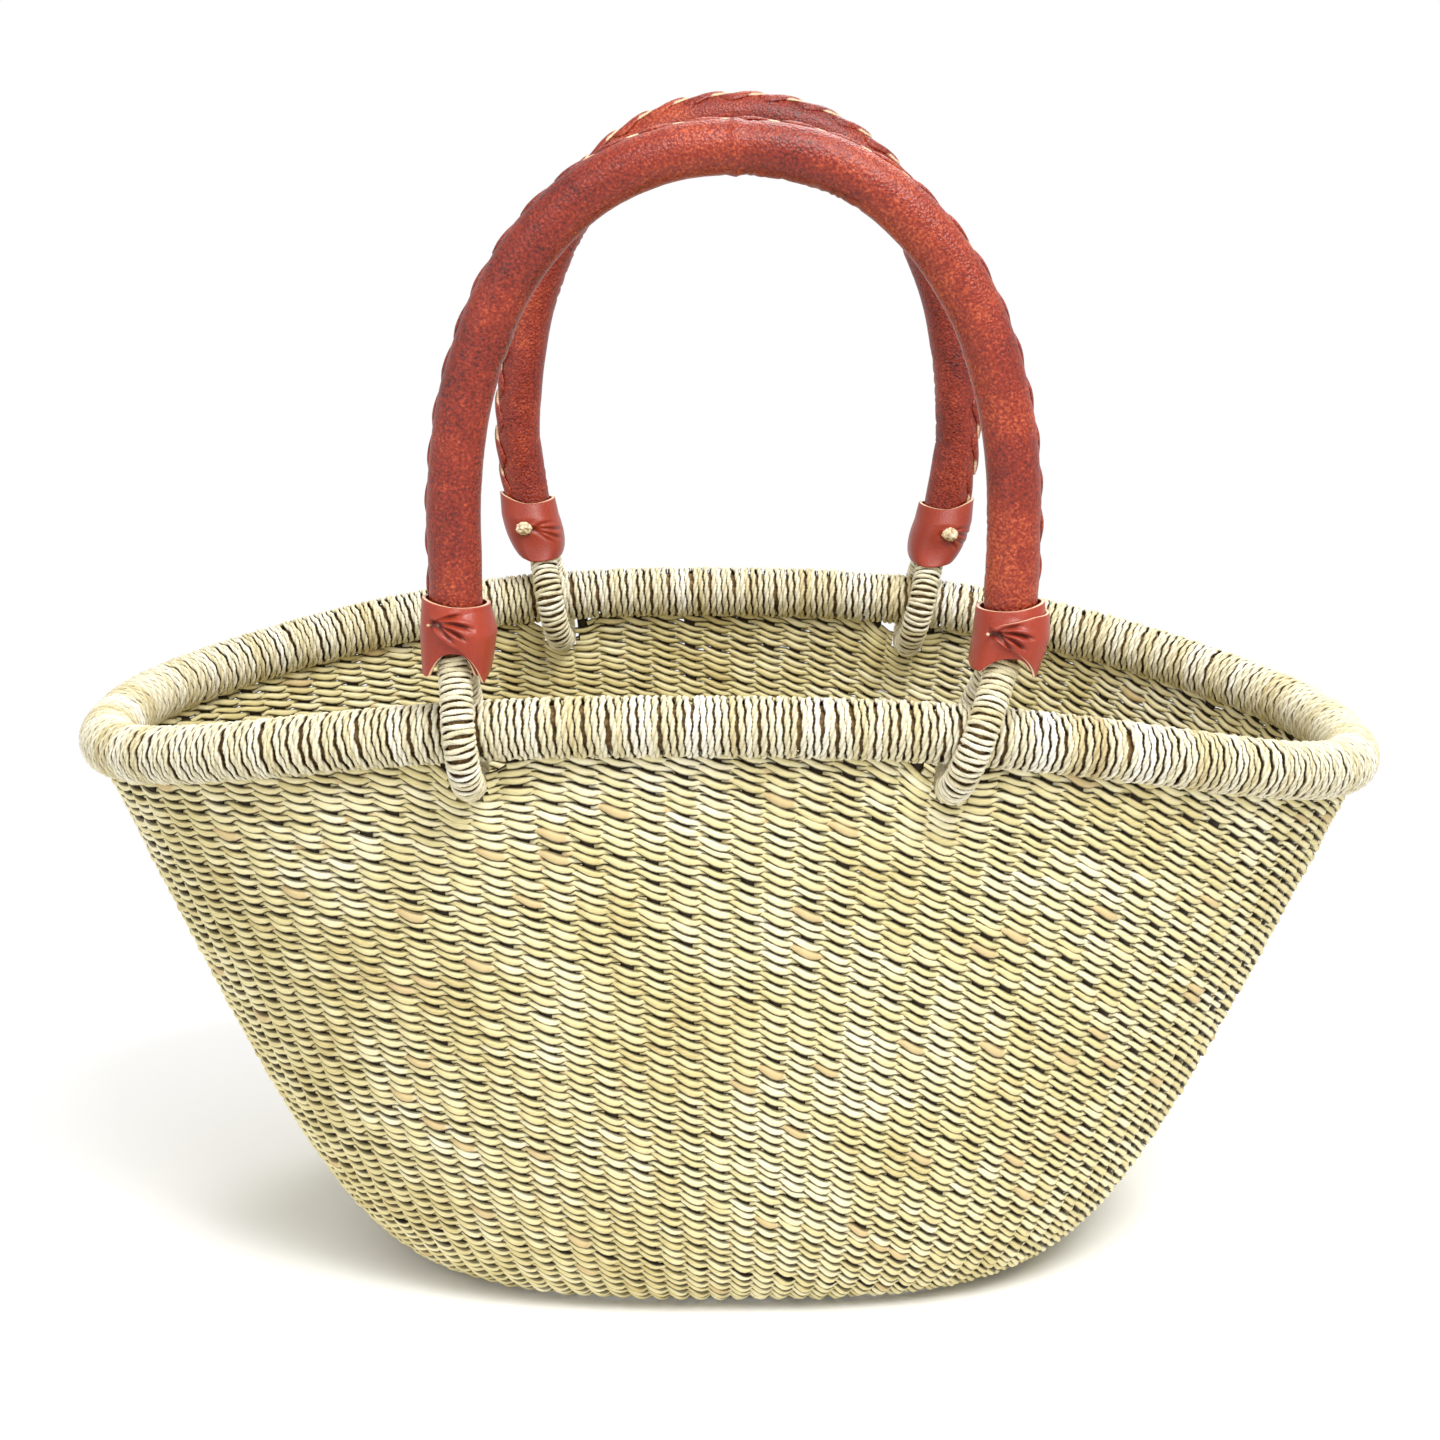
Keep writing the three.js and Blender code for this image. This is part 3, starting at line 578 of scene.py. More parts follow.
def two_ply_section(tree, size):
    """The two plies give the cord's section two lobes, which turn as its twist does."""
    section = add(tree, CIRCLE, {"Resolution": size["Facets"], "Radius": 1.0})
    corner = add(tree, "GeometryNodeInputPosition")
    x = add(tree, SEPARATE, [corner], out="X")
    y = add(tree, SEPARATE, [corner], out="Y")
    valley = add(tree, MATH, [y, y], operation="MULTIPLY")
    lobe = add(tree, MATH, [x, x], operation="MULTIPLY")
    lobe = add(tree, MATH, [lobe, valley], operation="SUBTRACT")
    lobe = add(tree, MATH, [lobe, size["Lobes"], 1.0], operation="MULTIPLY_ADD")
    flat = add(tree, COMBINE, [size["Half thickness"], size["Half width"], 1.0])
    shaped = add(tree, VECTOR_MATH, [corner, lobe], operation="SCALE")
    shaped = add(tree, VECTOR_MATH, [shaped, flat], operation="MULTIPLY")
    # The valley between the lobes is kept, and the cord material paints shade there.
    section = add(tree, STORE, {"Geometry": section, "Name": "valley", "Value": valley},
                  data_type="FLOAT")
    return add(tree, SET_POSITION, {"Geometry": section, "Position": shaped})


def winding_tree():
    """A two-ply cord wound closely round a guide tube."""
    numbers = ["Wraps", "First share", "Last share", "Half width", "Half thickness", "Lobes",
               "Plies per wrap", "Wander"]
    tree, size = geometry_tree("wound_cord", numbers, ["Steps", "Facets", "Seed"])
    count = add(tree, MATH, [size["Wraps"], size["Steps"]], operation="MULTIPLY")
    count = add(tree, MATH, [count, 1.0], operation="ADD")
    cord = add(tree, POINT_LINE, [count])
    index = add(tree, "GeometryNodeInputIndex")
    wrap = add(tree, MATH, [index, size["Steps"]], operation="DIVIDE")

    # The wraps follow one another along the guide, and wander a little as a hand lays them.
    share = add(tree, MATH, [wrap, size["Wraps"]], operation="DIVIDE")
    share = add(tree, MAP_RANGE, [share, 0.0, 1.0, size["First share"], size["Last share"]])
    seeded = add(tree, MATH, [wrap, size["Seed"]], operation="ADD")
    wander = add(tree, NOISE, {"W": seeded, "Scale": 1.7, "Detail": 1.0}, noise_dimensions="1D")
    wander = add(tree, MATH, [wander, 0.5], operation="SUBTRACT")
    wander = add(tree, MATH, [wander, size["Wander"]], operation="MULTIPLY")
    share = add(tree, MATH, [share, wander], operation="ADD")
    share = add(tree, MATH, [share, 0.0], operation="MAXIMUM")
    share = add(tree, MATH, [share, 1.0], operation="MINIMUM")
    around = add(tree, MATH, [wrap], operation="FRACT")
    place = sampled(tree, size["Geometry"], "place", share, around)
    across = sampled(tree, size["Geometry"], "across", share, around)

    # Cords differ from wrap to wrap, and lie in bunches of paler and browner grass.
    wrap_number = add(tree, MATH, [wrap], operation="FLOOR")
    tone = add(tree, RANDOM, {"Min": 0.0, "Max": 1.0, "ID": wrap_number, "Seed": size["Seed"]})
    bunch = add(tree, NOISE, {"W": seeded, "Scale": 0.13, "Detail": 2.0}, noise_dimensions="1D")
    swell_seed = add(tree, MATH, [size["Seed"], 5.0], operation="ADD")
    swell = add(tree, RANDOM, {"Min": 0.93, "Max": 1.05, "ID": wrap_number, "Seed": swell_seed})
    fibre = add(tree, MATH, [wrap, 6.0], operation="MULTIPLY")
    fibre = add(tree, COMBINE, [fibre, wrap_number, 0.5])
    for label, value, kind in (("tone", tone, "FLOAT"), ("bunch", bunch, "FLOAT"),
                               ("wrap", wrap, "FLOAT"), ("swell", swell, "FLOAT"),
                               ("fibre", fibre, "FLOAT_VECTOR"), ("across", across, "FLOAT_VECTOR")):
        cord = add(tree, STORE, {"Geometry": cord, "Name": label, "Value": value}, data_type=kind)
    cord = add(tree, SET_POSITION, {"Geometry": cord, "Position": place})
    line = facing_curves(tree, cord)
    wrap = add(tree, READ, ["wrap"], data_type="FLOAT")
    twist = add(tree, MATH, [wrap, size["Plies per wrap"]], operation="MULTIPLY")
    twist = add(tree, MATH, [twist, math.pi], operation="MULTIPLY")
    line = add(tree, "GeometryNodeSetCurveTilt", {"Curve": line, "Tilt": twist})

    section = two_ply_section(tree, size)
    swell = add(tree, READ, ["swell"], data_type="FLOAT")
    tube = add(tree, SWEEP, {"Curve": line, "Profile Curve": section, "Scale": swell, "Fill Caps": True})

    # How squarely the cord faces outwards: least in the gaps between one wrap and the next, where the cord
    # material paints shade.
    across = add(tree, READ, ["across"], data_type="FLOAT_VECTOR")
    normal = add(tree, "GeometryNodeInputNormal")
    facing = add(tree, VECTOR_MATH, [normal, across], out="Value", operation="DOT_PRODUCT")
    tube = add(tree, STORE, {"Geometry": tube, "Name": "facing", "Value": facing}, data_type="FLOAT")
    finish_tree(tree, tube, size["Material"])
    return tree


def lacing_tree():
    """Thong stitches set along a seam, each turned a little from its line."""
    tree, size = geometry_tree("laced_seam", ["Turn", "Jitter"], ["Seed"], ["Seam"])
    seam = add(tree, "GeometryNodeObjectInfo", {"Object": size["Seam"]}, out="Geometry")
    along = add(tree, READ, ["along"], data_type="FLOAT_VECTOR")
    outward = add(tree, READ, ["outward"], data_type="FLOAT_VECTOR")
    facing = add(tree, "FunctionNodeAxesToRotation", [along, outward], primary_axis="X", secondary_axis="Z")
    index = add(tree, "GeometryNodeInputIndex")
    jitter = add(tree, RANDOM, {"Min": -1.0, "Max": 1.0, "ID": index, "Seed": size["Seed"]})
    turn = add(tree, MATH, [jitter, size["Jitter"], size["Turn"]], operation="MULTIPLY_ADD")
    spin = add(tree, "FunctionNodeAxisAngleToRotation", [(0.0, 0.0, 1.0), turn])
    facing = add(tree, "FunctionNodeRotateRotation", [facing, spin], rotation_space="LOCAL")
    stitches = add(tree, INSTANCES, {"Points": seam, "Instance": size["Geometry"], "Rotation": facing})
    finish_tree(tree, stitches, size["Material"])
    return tree


# ---- Materials -----------------------------------------------------------------------------------

def colour(code):
    """A linear colour from an sRGB hex value."""
    parts = [int(code[i:i + 2], 16) / 255 for i in (1, 3, 5)]
    return [p / 12.92 if p <= 0.04045 else ((p + 0.055) / 1.055) ** 2.4 for p in parts] + [1.0]


def material(name, **constants):
    """A material with its constants on the shader's own sockets."""
    made = bpy.data.materials.new(name)
    made.use_nodes = True
    shader = made.node_tree.nodes["Principled BSDF"]
    for label, value in constants.items():
        shader.inputs[label.replace("_", " ")].default_value = value
    return made, made.node_tree, shader


def finish_shader(tree, shader, base, rough, bump):
    """Links what every finish varies: its colour, its roughness and its relief."""
    if rough is not None:
        tree.links.new(rough, shader.inputs["Roughness"])
    tree.links.new(base, shader.inputs["Base Color"])
    tree.links.new(bump, shader.inputs["Normal"])


def straw(name, stops, spliced_colour, groove_shade):
    """Dried veta vera grass: satin, with fine fibres along each strand and browner spliced ends."""
    made, tree, shader = material(name, IOR=1.45, Specular_IOR_Level=0.4)
    tone = add(tree, SHADER_ATTRIBUTE, attribute_name="tone", out="Fac")
    fibre = add(tree, SHADER_ATTRIBUTE, attribute_name="fibre", out="Vector")
    place = add(tree, COORDINATES, out="Object")
    # Fibres about 0.35 mm apart, drawn along the strand.
    lined = add(tree, VECTOR_MATH, [place, (250.0, 250.0, 2800.0)], operation="MULTIPLY")
    lined = add(tree, VECTOR_MATH, [lined, fibre], operation="ADD")
    streak = add(tree, NOISE, {"Vector": lined, "Scale": 1.0, "Detail": 3.0})
    # Patches about 45 mm wide, where the harvest was paler or browner.
    patch = add(tree, NOISE, {"Vector": place, "Scale": 22.0, "Detail": 2.0})
    blend = add(tree, MATH, [tone, 0.28, -0.2], operation="MULTIPLY_ADD")
    blend = add(tree, MATH, [streak, 0.45, blend], operation="MULTIPLY_ADD")
    blend = add(tree, MATH, [patch, 0.75, blend], operation="MULTIPLY_ADD")
    base = add(tree, RAMP, [blend], stops=stops)
    spliced = add(tree, SHADER_ATTRIBUTE, attribute_name="spliced", out="Fac")
    base = add(tree, MIX, {"Factor": spliced, "A": base, "B": colour(spliced_colour)}, data_type="RGBA")
    # Painted shade: dark along the strands' edges, in the grooves between stitches, and over the whole of
    # the stakes that show behind them.
    low_edge = add(tree, SHADER_ATTRIBUTE, attribute_name="low_edge", out="Fac")
    under = add(tree, MAP_RANGE, [low_edge, 0.35, 0.72, 0.0, 1.0])
    over = add(tree, MAP_RANGE, [low_edge, -0.8, -0.55, 0.7, 0.0])
    dark = add(tree, MATH, [under, over], operation="MAXIMUM")
    behind = add(tree, SHADER_ATTRIBUTE, attribute_name="behind", out="Fac")
    dark = add(tree, MATH, [dark, behind], operation="MAXIMUM")
    base = add(tree, MIX, {"Factor": dark, "A": base, "B": colour(groove_shade)}, data_type="RGBA")
    rough = add(tree, MAP_RANGE, [streak, 0.3, 0.7, 0.48, 0.66])
    bump = add(tree, BUMP, {"Strength": 0.35, "Distance": 0.15 * MM, "Height": streak})
    finish_shader(tree, shader, base, rough, bump)
    return made


def cord_straw(name, stops, gap_shade_colour):
    """Twisted grass cord: paler and creamier than the weave, brown in places, wound in bunches."""
    made, tree, shader = material(name, IOR=1.45, Specular_IOR_Level=0.4)
    tone = add(tree, SHADER_ATTRIBUTE, attribute_name="tone", out="Fac")
    bunch = add(tree, SHADER_ATTRIBUTE, attribute_name="bunch", out="Fac")
    fibre = add(tree, SHADER_ATTRIBUTE, attribute_name="fibre", out="Vector")
    place = add(tree, COORDINATES, out="Object")
    # Fibres about 0.5 mm apart.
    fine = add(tree, VECTOR_MATH, [place, (1900.0, 1900.0, 420.0), fibre], operation="MULTIPLY_ADD")
    streak = add(tree, NOISE, {"Vector": fine, "Scale": 1.0, "Detail": 3.0})
    blend = add(tree, MATH, [tone, 0.22, -0.14], operation="MULTIPLY_ADD")
    blend = add(tree, MATH, [bunch, 0.7, blend], operation="MULTIPLY_ADD")
    blend = add(tree, MATH, [streak, 0.4, blend], operation="MULTIPLY_ADD")
    base = add(tree, RAMP, [blend], stops=stops)
    # Painted shade between the plies, and deeper painted shade in the gaps between one wrap and the next.
    valley = add(tree, SHADER_ATTRIBUTE, attribute_name="valley", out="Fac")
    groove_shade = add(tree, MAP_RANGE, [valley, 0.65, 1.0, 0.0, 0.4])
    facing = add(tree, SHADER_ATTRIBUTE, attribute_name="facing", out="Fac")
    gap_shade = add(tree, MAP_RANGE, [facing, 0.15, 0.66, 0.96, 0.0])
    groove_shade = add(tree, MATH, [groove_shade, gap_shade], operation="MAXIMUM")
    base = add(tree, MIX, {"Factor": groove_shade, "A": base, "B": colour(gap_shade_colour)}, data_type="RGBA")
    rough = add(tree, MAP_RANGE, [streak, 0.3, 0.7, 0.45, 0.65])
    bump = add(tree, BUMP, {"Strength": 0.4, "Distance": 0.15 * MM, "Height": streak})
    finish_shader(tree, shader, base, rough, bump)
    return made


def tanned_leather(name, stops, grain, roughness, shine, pore_contrast, relief_strength):
    """Vegetable-tanned leather: a soft glaze over dark pores and pebbled grain, with pale cut edges."""
    made, tree, shader = material(name, IOR=1.5, Specular_IOR_Level=0.4, Coat_Weight=shine,
                                  Coat_Roughness=0.3)
    place = add(tree, COORDINATES, out="Object")
    cells = add(tree, "ShaderNodeTexVoronoi", {"Vector": place, "Scale": 1 / grain},
                feature="F1", out="Distance")
    # Pores 0.9 mm apart. Clouds 20 mm wide and patches 110 mm wide, where the dye took unevenly.
    pores = add(tree, NOISE, {"Vector": place, "Scale": 1 / (0.9 * MM), "Detail": 2.0})
    clouds = add(tree, NOISE, {"Vector": place, "Scale": 48.0, "Detail": 3.0})
    wide = add(tree, NOISE, {"Vector": place, "Scale": 9.0, "Detail": 1.0})
    blend = add(tree, MATH, [clouds, 0.55, -0.5 * pore_contrast], operation="MULTIPLY_ADD")
    blend = add(tree, MATH, [wide, 0.45, blend], operation="MULTIPLY_ADD")
    blend = add(tree, MATH, [pores, pore_contrast, blend], operation="MULTIPLY_ADD")
    base = add(tree, RAMP, [blend], stops=stops)
    raw = add(tree, SHADER_ATTRIBUTE, attribute_name="raw_edge", out="Fac")
    base = add(tree, MIX, {"Factor": raw, "A": base, "B": colour("#E2C4A0")}, data_type="RGBA")
    # Painted shade in the cuffs' creases, darker the deeper each crease is drawn in.
    crease = add(tree, SHADER_ATTRIBUTE, attribute_name="crease", out="Fac")
    base = add(tree, MIX, {"Factor": crease, "A": base, "B": colour("#2A0A05")}, data_type="RGBA")
    rough = add(tree, MAP_RANGE, [pores, 0.25, 0.75, roughness - 0.08, roughness + 0.12])
    relief = add(tree, MATH, [pores, 0.6, cells], operation="MULTIPLY_ADD")
    bump = add(tree, BUMP, {"Strength": relief_strength, "Distance": 0.3 * MM, "Height": relief})
    finish_shader(tree, shader, base, rough, bump)
    return made


def rawhide():
    """Dried rawhide: pale, hard and fibrous, with darker creases."""
    made, tree, shader = material("dried_rawhide", IOR=1.5)
    place = add(tree, COORDINATES, out="Object")
    # Creases about 1.1 mm apart.
    crease = add(tree, NOISE, {"Vector": place, "Scale": 900.0, "Detail": 3.0})
    base = add(tree, RAMP, [crease], stops=((0.35, "#A98457"), (0.5, "#DCC6A0"), (0.7, "#F3E9D2")))
    rough = add(tree, MAP_RANGE, [crease, 0.3, 0.7, 0.45, 0.7])
    bump = add(tree, BUMP, {"Strength": 0.5, "Distance": 0.2 * MM, "Height": crease})
    finish_shader(tree, shader, base, rough, bump)
    return made


def bundled_grass():
    """Loose grass stalks bundled side by side, brown and matt."""
    made, tree, shader = material("bundled_grass", Roughness=0.8)
    place = add(tree, COORDINATES, out="Object")
    # Stalks about 2 mm thick.
    stalks = add(tree, NOISE, {"Vector": place, "Scale": 500.0, "Detail": 2.0})
    base = add(tree, RAMP, [stalks], stops=((0.3, "#5E4524"), (0.55, "#947243"), (0.75, "#B89A62")))
    bump = add(tree, BUMP, {"Strength": 0.5, "Distance": 0.4 * MM, "Height": stalks})
    finish_shader(tree, shader, base, None, bump)
    return made


# The last colour given to the grass is painted shade, for the grooves and the stakes.
GRASS = straw(
    "twined_grass", ((0.12, "#AC9258"), (0.34, "#D0C187"), (0.55, "#DFD39F"), (0.8, "#F1E9C8")),
    spliced_colour="#CDB684", groove_shade="#2E210E")
# The last colour given to the cord is painted shade, for the gaps between plies and wraps.
CORD = cord_straw(
    "twisted_grass_cord", ((0.15, "#B2966A"), (0.33, "#D2C495"), (0.55, "#E5DDBF"), (0.8, "#F8F4E8")),
    gap_shade_colour="#4A3517")
HANDLE_LEATHER = tanned_leather(
    "oxblood_goatskin", ((0.24, "#3E0D06"), (0.42, "#721D0D"), (0.6, "#8E2C14"), (0.8, "#BA562F")),
    grain=0.9 * MM, roughness=0.4, shine=0.12, pore_contrast=0.85, relief_strength=0.9)
CUFF_LEATHER = tanned_leather(
    "orange_brown_calf", ((0.2, "#621A0C"), (0.45, "#882A14"), (0.65, "#9E361B"), (0.85, "#B24828")),
    grain=0.5 * MM, roughness=0.42, shine=0.12, pore_contrast=0.2, relief_strength=0.2)
RAWHIDE = rawhide()
BUNDLE = bundled_grass()


# ---- Handle lines --------------------------------------------------------------------------------

class Handle:
    """A handle's own frame: X along its hinge, Z up the handle. Sizes come in millimetres."""

    def __init__(self, data):
        self.name = data["name"]
        self.side = data["side"]
        self.body = data["name"] + "_handle"
        self.height = data["height"] * MM
        self.arch_half_span = data["arch_half_span"] * MM
        self.cuff_bottom = data["cuff_bottom"] * MM
        self.cuff_top = data["cuff_top"] * MM
        ends = [self.rim_at(x * MM) for x in data["loops"]]
        self.x_axis = unit(ends[1] - ends[0])
        self.y_axis = unit(np.cross([0, 0, 1], self.x_axis))
        self.z_axis = np.cross(self.x_axis, self.y_axis)
        self.origin = (ends[0] + ends[1]) / 2
        middle = sum(data["loops"]) / 2
        self.loops, self.leg_tops, self.hems, self.sleeve_ends = [
            [(x - middle) * MM for x in data[key]] for key in ("loops", "leg_tops", "hems", "sleeve_ends")]
        self.arch_middle = (data["arch_middle"] - middle) * MM

    def rim_at(self, x):
        turn = math.acos(math.copysign(abs(x / RIM_SEMI_LENGTH) ** (RIM_POWER / 2), x))
        return rim_place(np.array(self.side * turn))

    def to_frame(self, points):
        points = np.asarray(points, float)
        return (self.origin + points[..., :1] * self.x_axis + points[..., 1:2] * self.y_axis
                + points[..., 2:] * self.z_axis)

    def loop_x(self, end, height):
        lean = (self.leg_tops[end] - self.loops[end]) / LOOP_TOP_LENGTH
        return self.loops[end] + lean * height

    def leg_x(self, end, height):
        foot = self.arch_middle + (1 if end else -1) * self.arch_half_span
        share = (height - SLEEVE_START) / (ARCH_SPRING_HEIGHT - SLEEVE_START)
        return self.sleeve_ends[end] + (foot - self.sleeve_ends[end]) * share

    def cuff_x(self, end, height):
        share = (height - self.cuff_bottom) / (SLEEVE_START - self.cuff_bottom)
        low = self.hems[end] + (self.sleeve_ends[end] - self.hems[end]) * share
        return np.where(height >= SLEEVE_START, self.leg_x(end, height), low)

    def sleeve_line(self):
        """The handle's centre line: up a leg, over the arch and down the other leg."""
        def leg(end):
            heights = np.linspace(SLEEVE_START, ARCH_SPRING_HEIGHT, 12)[:-1]
            return np.stack([self.leg_x(end, heights), 0 * heights, heights], -1)
        turn = np.pi * (1 - np.linspace(0, 1, 241))
        x, z = oval(turn, self.arch_half_span, self.height - ARCH_SPRING_HEIGHT, ARCH_POWER)
        arch = np.stack([self.arch_middle + x, 0 * x, ARCH_SPRING_HEIGHT + z], -1)
        return np.concatenate([leg(0), arch, leg(1)[::-1]])

    def loop_line(self, end):
        """A loop's centre line: down one leg, round under the rim and up the other."""
        pull = LOOP_BEND * LOOP_RING_RADIUS
        release = LOOP_RELEASE_ANGLE
        low = (LOOP_RING_RADIUS * math.cos(release), LOOP_RING_RADIUS * math.sin(release))
        bend = (low[0] - pull * math.sin(release), low[1] + pull * math.cos(release))
        t = np.linspace(0, 1, 17)[:-1]
        y = bezier(LOOP_LEG_OFFSET, LOOP_LEG_OFFSET, bend[0], low[0], t)
        z = bezier(LOOP_TOP_LENGTH, LOOP_TOP_LENGTH - pull, bend[1], low[1], t)
        turn = np.linspace(release, -np.pi / 2, 25)
        y = np.concatenate([y, LOOP_RING_RADIUS * np.cos(turn)])
        z = np.concatenate([z, LOOP_RING_RADIUS * np.sin(turn)])
        y = np.concatenate([y, -y[-2::-1]])
        z = np.concatenate([z, z[-2::-1]])
        return np.stack([self.loop_x(end, z), y, z], -1)


HANDLE_LINES = [Handle(data) for data in HANDLES]


# ---- Guides for the weave ------------------------------------------------------------------------

def guide_mesh(name, places, across, push=None):
    """A guide surface with its places, its outward directions and its layout as attributes."""
    rows, columns = places.shape[:2]
    mesh = grid_mesh(name, places)
    share, up = np.meshgrid(np.linspace(0, 1, columns), np.linspace(0, 1, rows))
    add_values(mesh, "layout", np.stack([share, up, 0 * up], -1), "FLOAT_VECTOR")
    add_values(mesh, "place", places, "FLOAT_VECTOR")
    add_values(mesh, "across", across, "FLOAT_VECTOR")
    if push is None:
        push = np.zeros((rows, columns))
    add_values(mesh, "push", np.stack([push, 0 * push, 0 * push], -1), "FLOAT_VECTOR")
    return mesh


def wall_guide():
    """The wall as a guide whose rows are evenly spaced up the wall, and its length up the wall."""
    columns, fine, rows = STAKE_GUIDE_STEPS * STAKES + 1, 240, 120
    shares = np.linspace(0, 1, columns)
    base_turn = even_turns(base_place, shares)
    rim_turn = even_turns(rim_place, shares)
    rise = np.linspace(0, 1, fine)[:, None]
    turn = base_turn + (rim_turn - base_turn) * rise**0.8
    places = wall_place(turn, rise)
    steps = np.linalg.norm(np.diff(places, axis=0), axis=2)
    travelled = np.concatenate([np.zeros((1, columns)), np.cumsum(steps, 0)])
    up = np.linspace(0, 1, rows)
    even = np.stack([
        np.stack([np.interp(up * travelled[-1, c], travelled[:, c], places[:, c, k]) for k in range(3)], -1)
        for c in range(columns)], 1)
    around = np.roll(even[:, :-1], -1, 1) - np.roll(even[:, :-1], 1, 1)
    around = np.concatenate([around, around[:, :1]], 1)
    across = unit(np.cross(around, np.gradient(even, axis=0)))
    length = float(travelled[-1].mean())

    # The courses dip under each rope loop, as the loop was pulled through them.
    push = np.zeros(even.shape[:2])
    for handle in HANDLE_LINES:
        for end in (0, 1):
            eye = handle.to_frame([handle.loop_x(end, -LOOP_RING_RADIUS), 0, -LOOP_RING_RADIUS])
            aside = (even[..., 0] - eye[0]) / LOOP_DIP_HALF_WIDTH
            same_side = np.sign(even[..., 1]) == handle.side
            depth = np.clip((even[..., 2] - eye[2] + LOOP_DIP_DEPTH) / LOOP_DIP_RISE, 0, 1) ** 2
            push += same_side * LOOP_DIP * np.exp(-aside**2) * depth
    return guide_mesh("wall_guide", even, across, push / length), length


def base_guide(inner, outer):
    """A flat ring of the base, from a share of its size to another, as a guide."""
    columns, rows = 241, 12
    turn = even_turns(base_place, np.linspace(0, 1, columns))
    scale = np.linspace(inner, outer, rows)[:, None]
    x, y = oval(turn, BASE_SEMI_LENGTH, BASE_SEMI_WIDTH, BASE_POWER)
    places = np.stack([x * scale, y * scale, WEAVE_MIDDLE + 0 * x * scale], -1)
    down = np.zeros_like(places)
    down[..., 2] = -1
    length = (outer - inner) * (BASE_SEMI_LENGTH + BASE_SEMI_WIDTH) / 2
    return guide_mesh("base_guide", places, down), length


def tube_guide(name, line, radius, upright, closed=False, start=0.75):
    """A tube round a line as a guide. Its layout runs along the line and round it."""
    along = tangents(line[:-1], True) if closed else tangents(line)
    if closed:
        along = np.concatenate([along, along[:1]])
    side = unit(np.cross(upright, along))
    over = np.cross(along, side)
    turn = (start + np.linspace(0, 1, 33))[:, None, None] * TURN
    across = side * np.cos(turn) + over * np.sin(turn)
    return guide_mesh(name, line + across * radius, across)


def wire_object(name, lines):
    """Loose lines that a tree measures distances to."""
    points, edges = [], []
    for line in lines:
        first = len(points)
        points += [tuple(p) for p in line]
        edges += [(first + k, first + k + 1) for k in range(len(line) - 1)]
    mesh = bpy.data.meshes.new(name)
    mesh.from_pydata(points, edges, [])
    obj = bpy.data.objects.new(name, mesh)
    bpy.context.scene.collection.objects.link(obj)
    return obj


# ---- Basket --------------------------------------------------------------------------------------

def make_weave():
    twining = twining_tree()
    guide, length = wall_guide()
    loop_lines = [handle.to_frame(handle.loop_line(end)) for handle in HANDLE_LINES for end in (0, 1)]
    loops = wire_object("loop_lines", loop_lines)
    sizes = {
        "Course pitch": COURSE_PITCH, "Course tilt": COURSE_TILT, "Wall length": length,
        "Reach": STRAND_REACH, "Dip": STRAND_DIP, "Sag": STRAND_SAG,
        "Half height": STRAND_HALF_HEIGHT, "Half thickness": STRAND_HALF_THICKNESS,
        "Lowest": 0.001, "Highest": 0.999, "Loop clearance": STRAND_CLEARANCE,
        "Stakes": STAKES, "Steps": 6, "Facets": 6, "Seed": 5, "Material": GRASS, "Loops": loops}
    # The courses tilt from end to end, so the first starts below the base and the last ends over the rim.
    first = -int(COURSE_TILT / COURSE_PITCH) - 1
    last = int((length + COURSE_TILT) / COURSE_PITCH) + 1
    edges = np.linspace(first, last, BANDS + 1).round().astype(int)
    for band, (low, high) in enumerate(zip(edges, edges[1:])):
        values = sizes | {"First course": int(low), "Courses": int(high - low)}
        mesh = grown(f"wall_weave_{band + 1}", guide, twining, values)
        piece(f"wall_weave_{band + 1}", mesh, None, "basket", "twined_grass", "woven_wall")
    stakes = grown("wall_stakes", guide, stake_tree(), {
        "Half width": STAKE_HALF_WIDTH, "Half thickness": STAKE_HALF_THICKNESS, "Highest": 0.998,
        "Loop clearance": STAKE_CLEARANCE, "Stakes": STAKES, "Steps": 40, "Facets": 6,
        "Material": GRASS, "Loops": loops})
    piece("wall_stakes", stakes, None, "basket", "twined_grass")

    for number, (inner, outer, stakes, steps) in enumerate(BASE_RINGS):
        guide, length = base_guide(inner, outer)
        values = sizes | {
            "Course tilt": 0.0, "Wall length": length, "Lowest": 0.0, "Highest": 1.0, "First course": 0,
            "Courses": int(length / COURSE_PITCH), "Stakes": stakes, "Steps": steps, "Facets": 5,
            "Half height": BASE_STRAND_HALF_HEIGHT, "Seed": 9 + number}
        mesh = grown(f"base_weave_{number + 1}", guide, twining, values)
        piece(f"base_weave_{number + 1}", mesh, None, "basket", "twined_grass", "woven_base")
    bpy.data.objects.remove(loops)


def make_rim(winding):
    turns = even_turns(rim_place, np.linspace(0, 1, 721))
    line = rim_place(turns)
    line[-1] = line[0]
    guide = tube_guide("rim_guide", line, RIM_GUIDE_RADIUS, (0, 0, 1), closed=True, start=0.25)
    for part in range(RIM_PARTS):
        mesh = grown(f"rim_binding_{part + 1}", guide, winding, {
            "Wraps": RIM_WRAPS / RIM_PARTS, "First share": part / RIM_PARTS,
            "Last share": (part + 1) / RIM_PARTS, "Half width": 0.92 * MM, "Half thickness": 1.04 * MM,
            "Lobes": 0.16, "Plies per wrap": 9.4, "Wander": 1.1 / RIM_WRAPS, "Steps": 40, "Facets": 10,
            "Seed": 21 + part, "Material": CORD})
        piece(f"rim_binding_{part + 1}", mesh, None, "basket", "grass_cord_binding", "rim_binding")


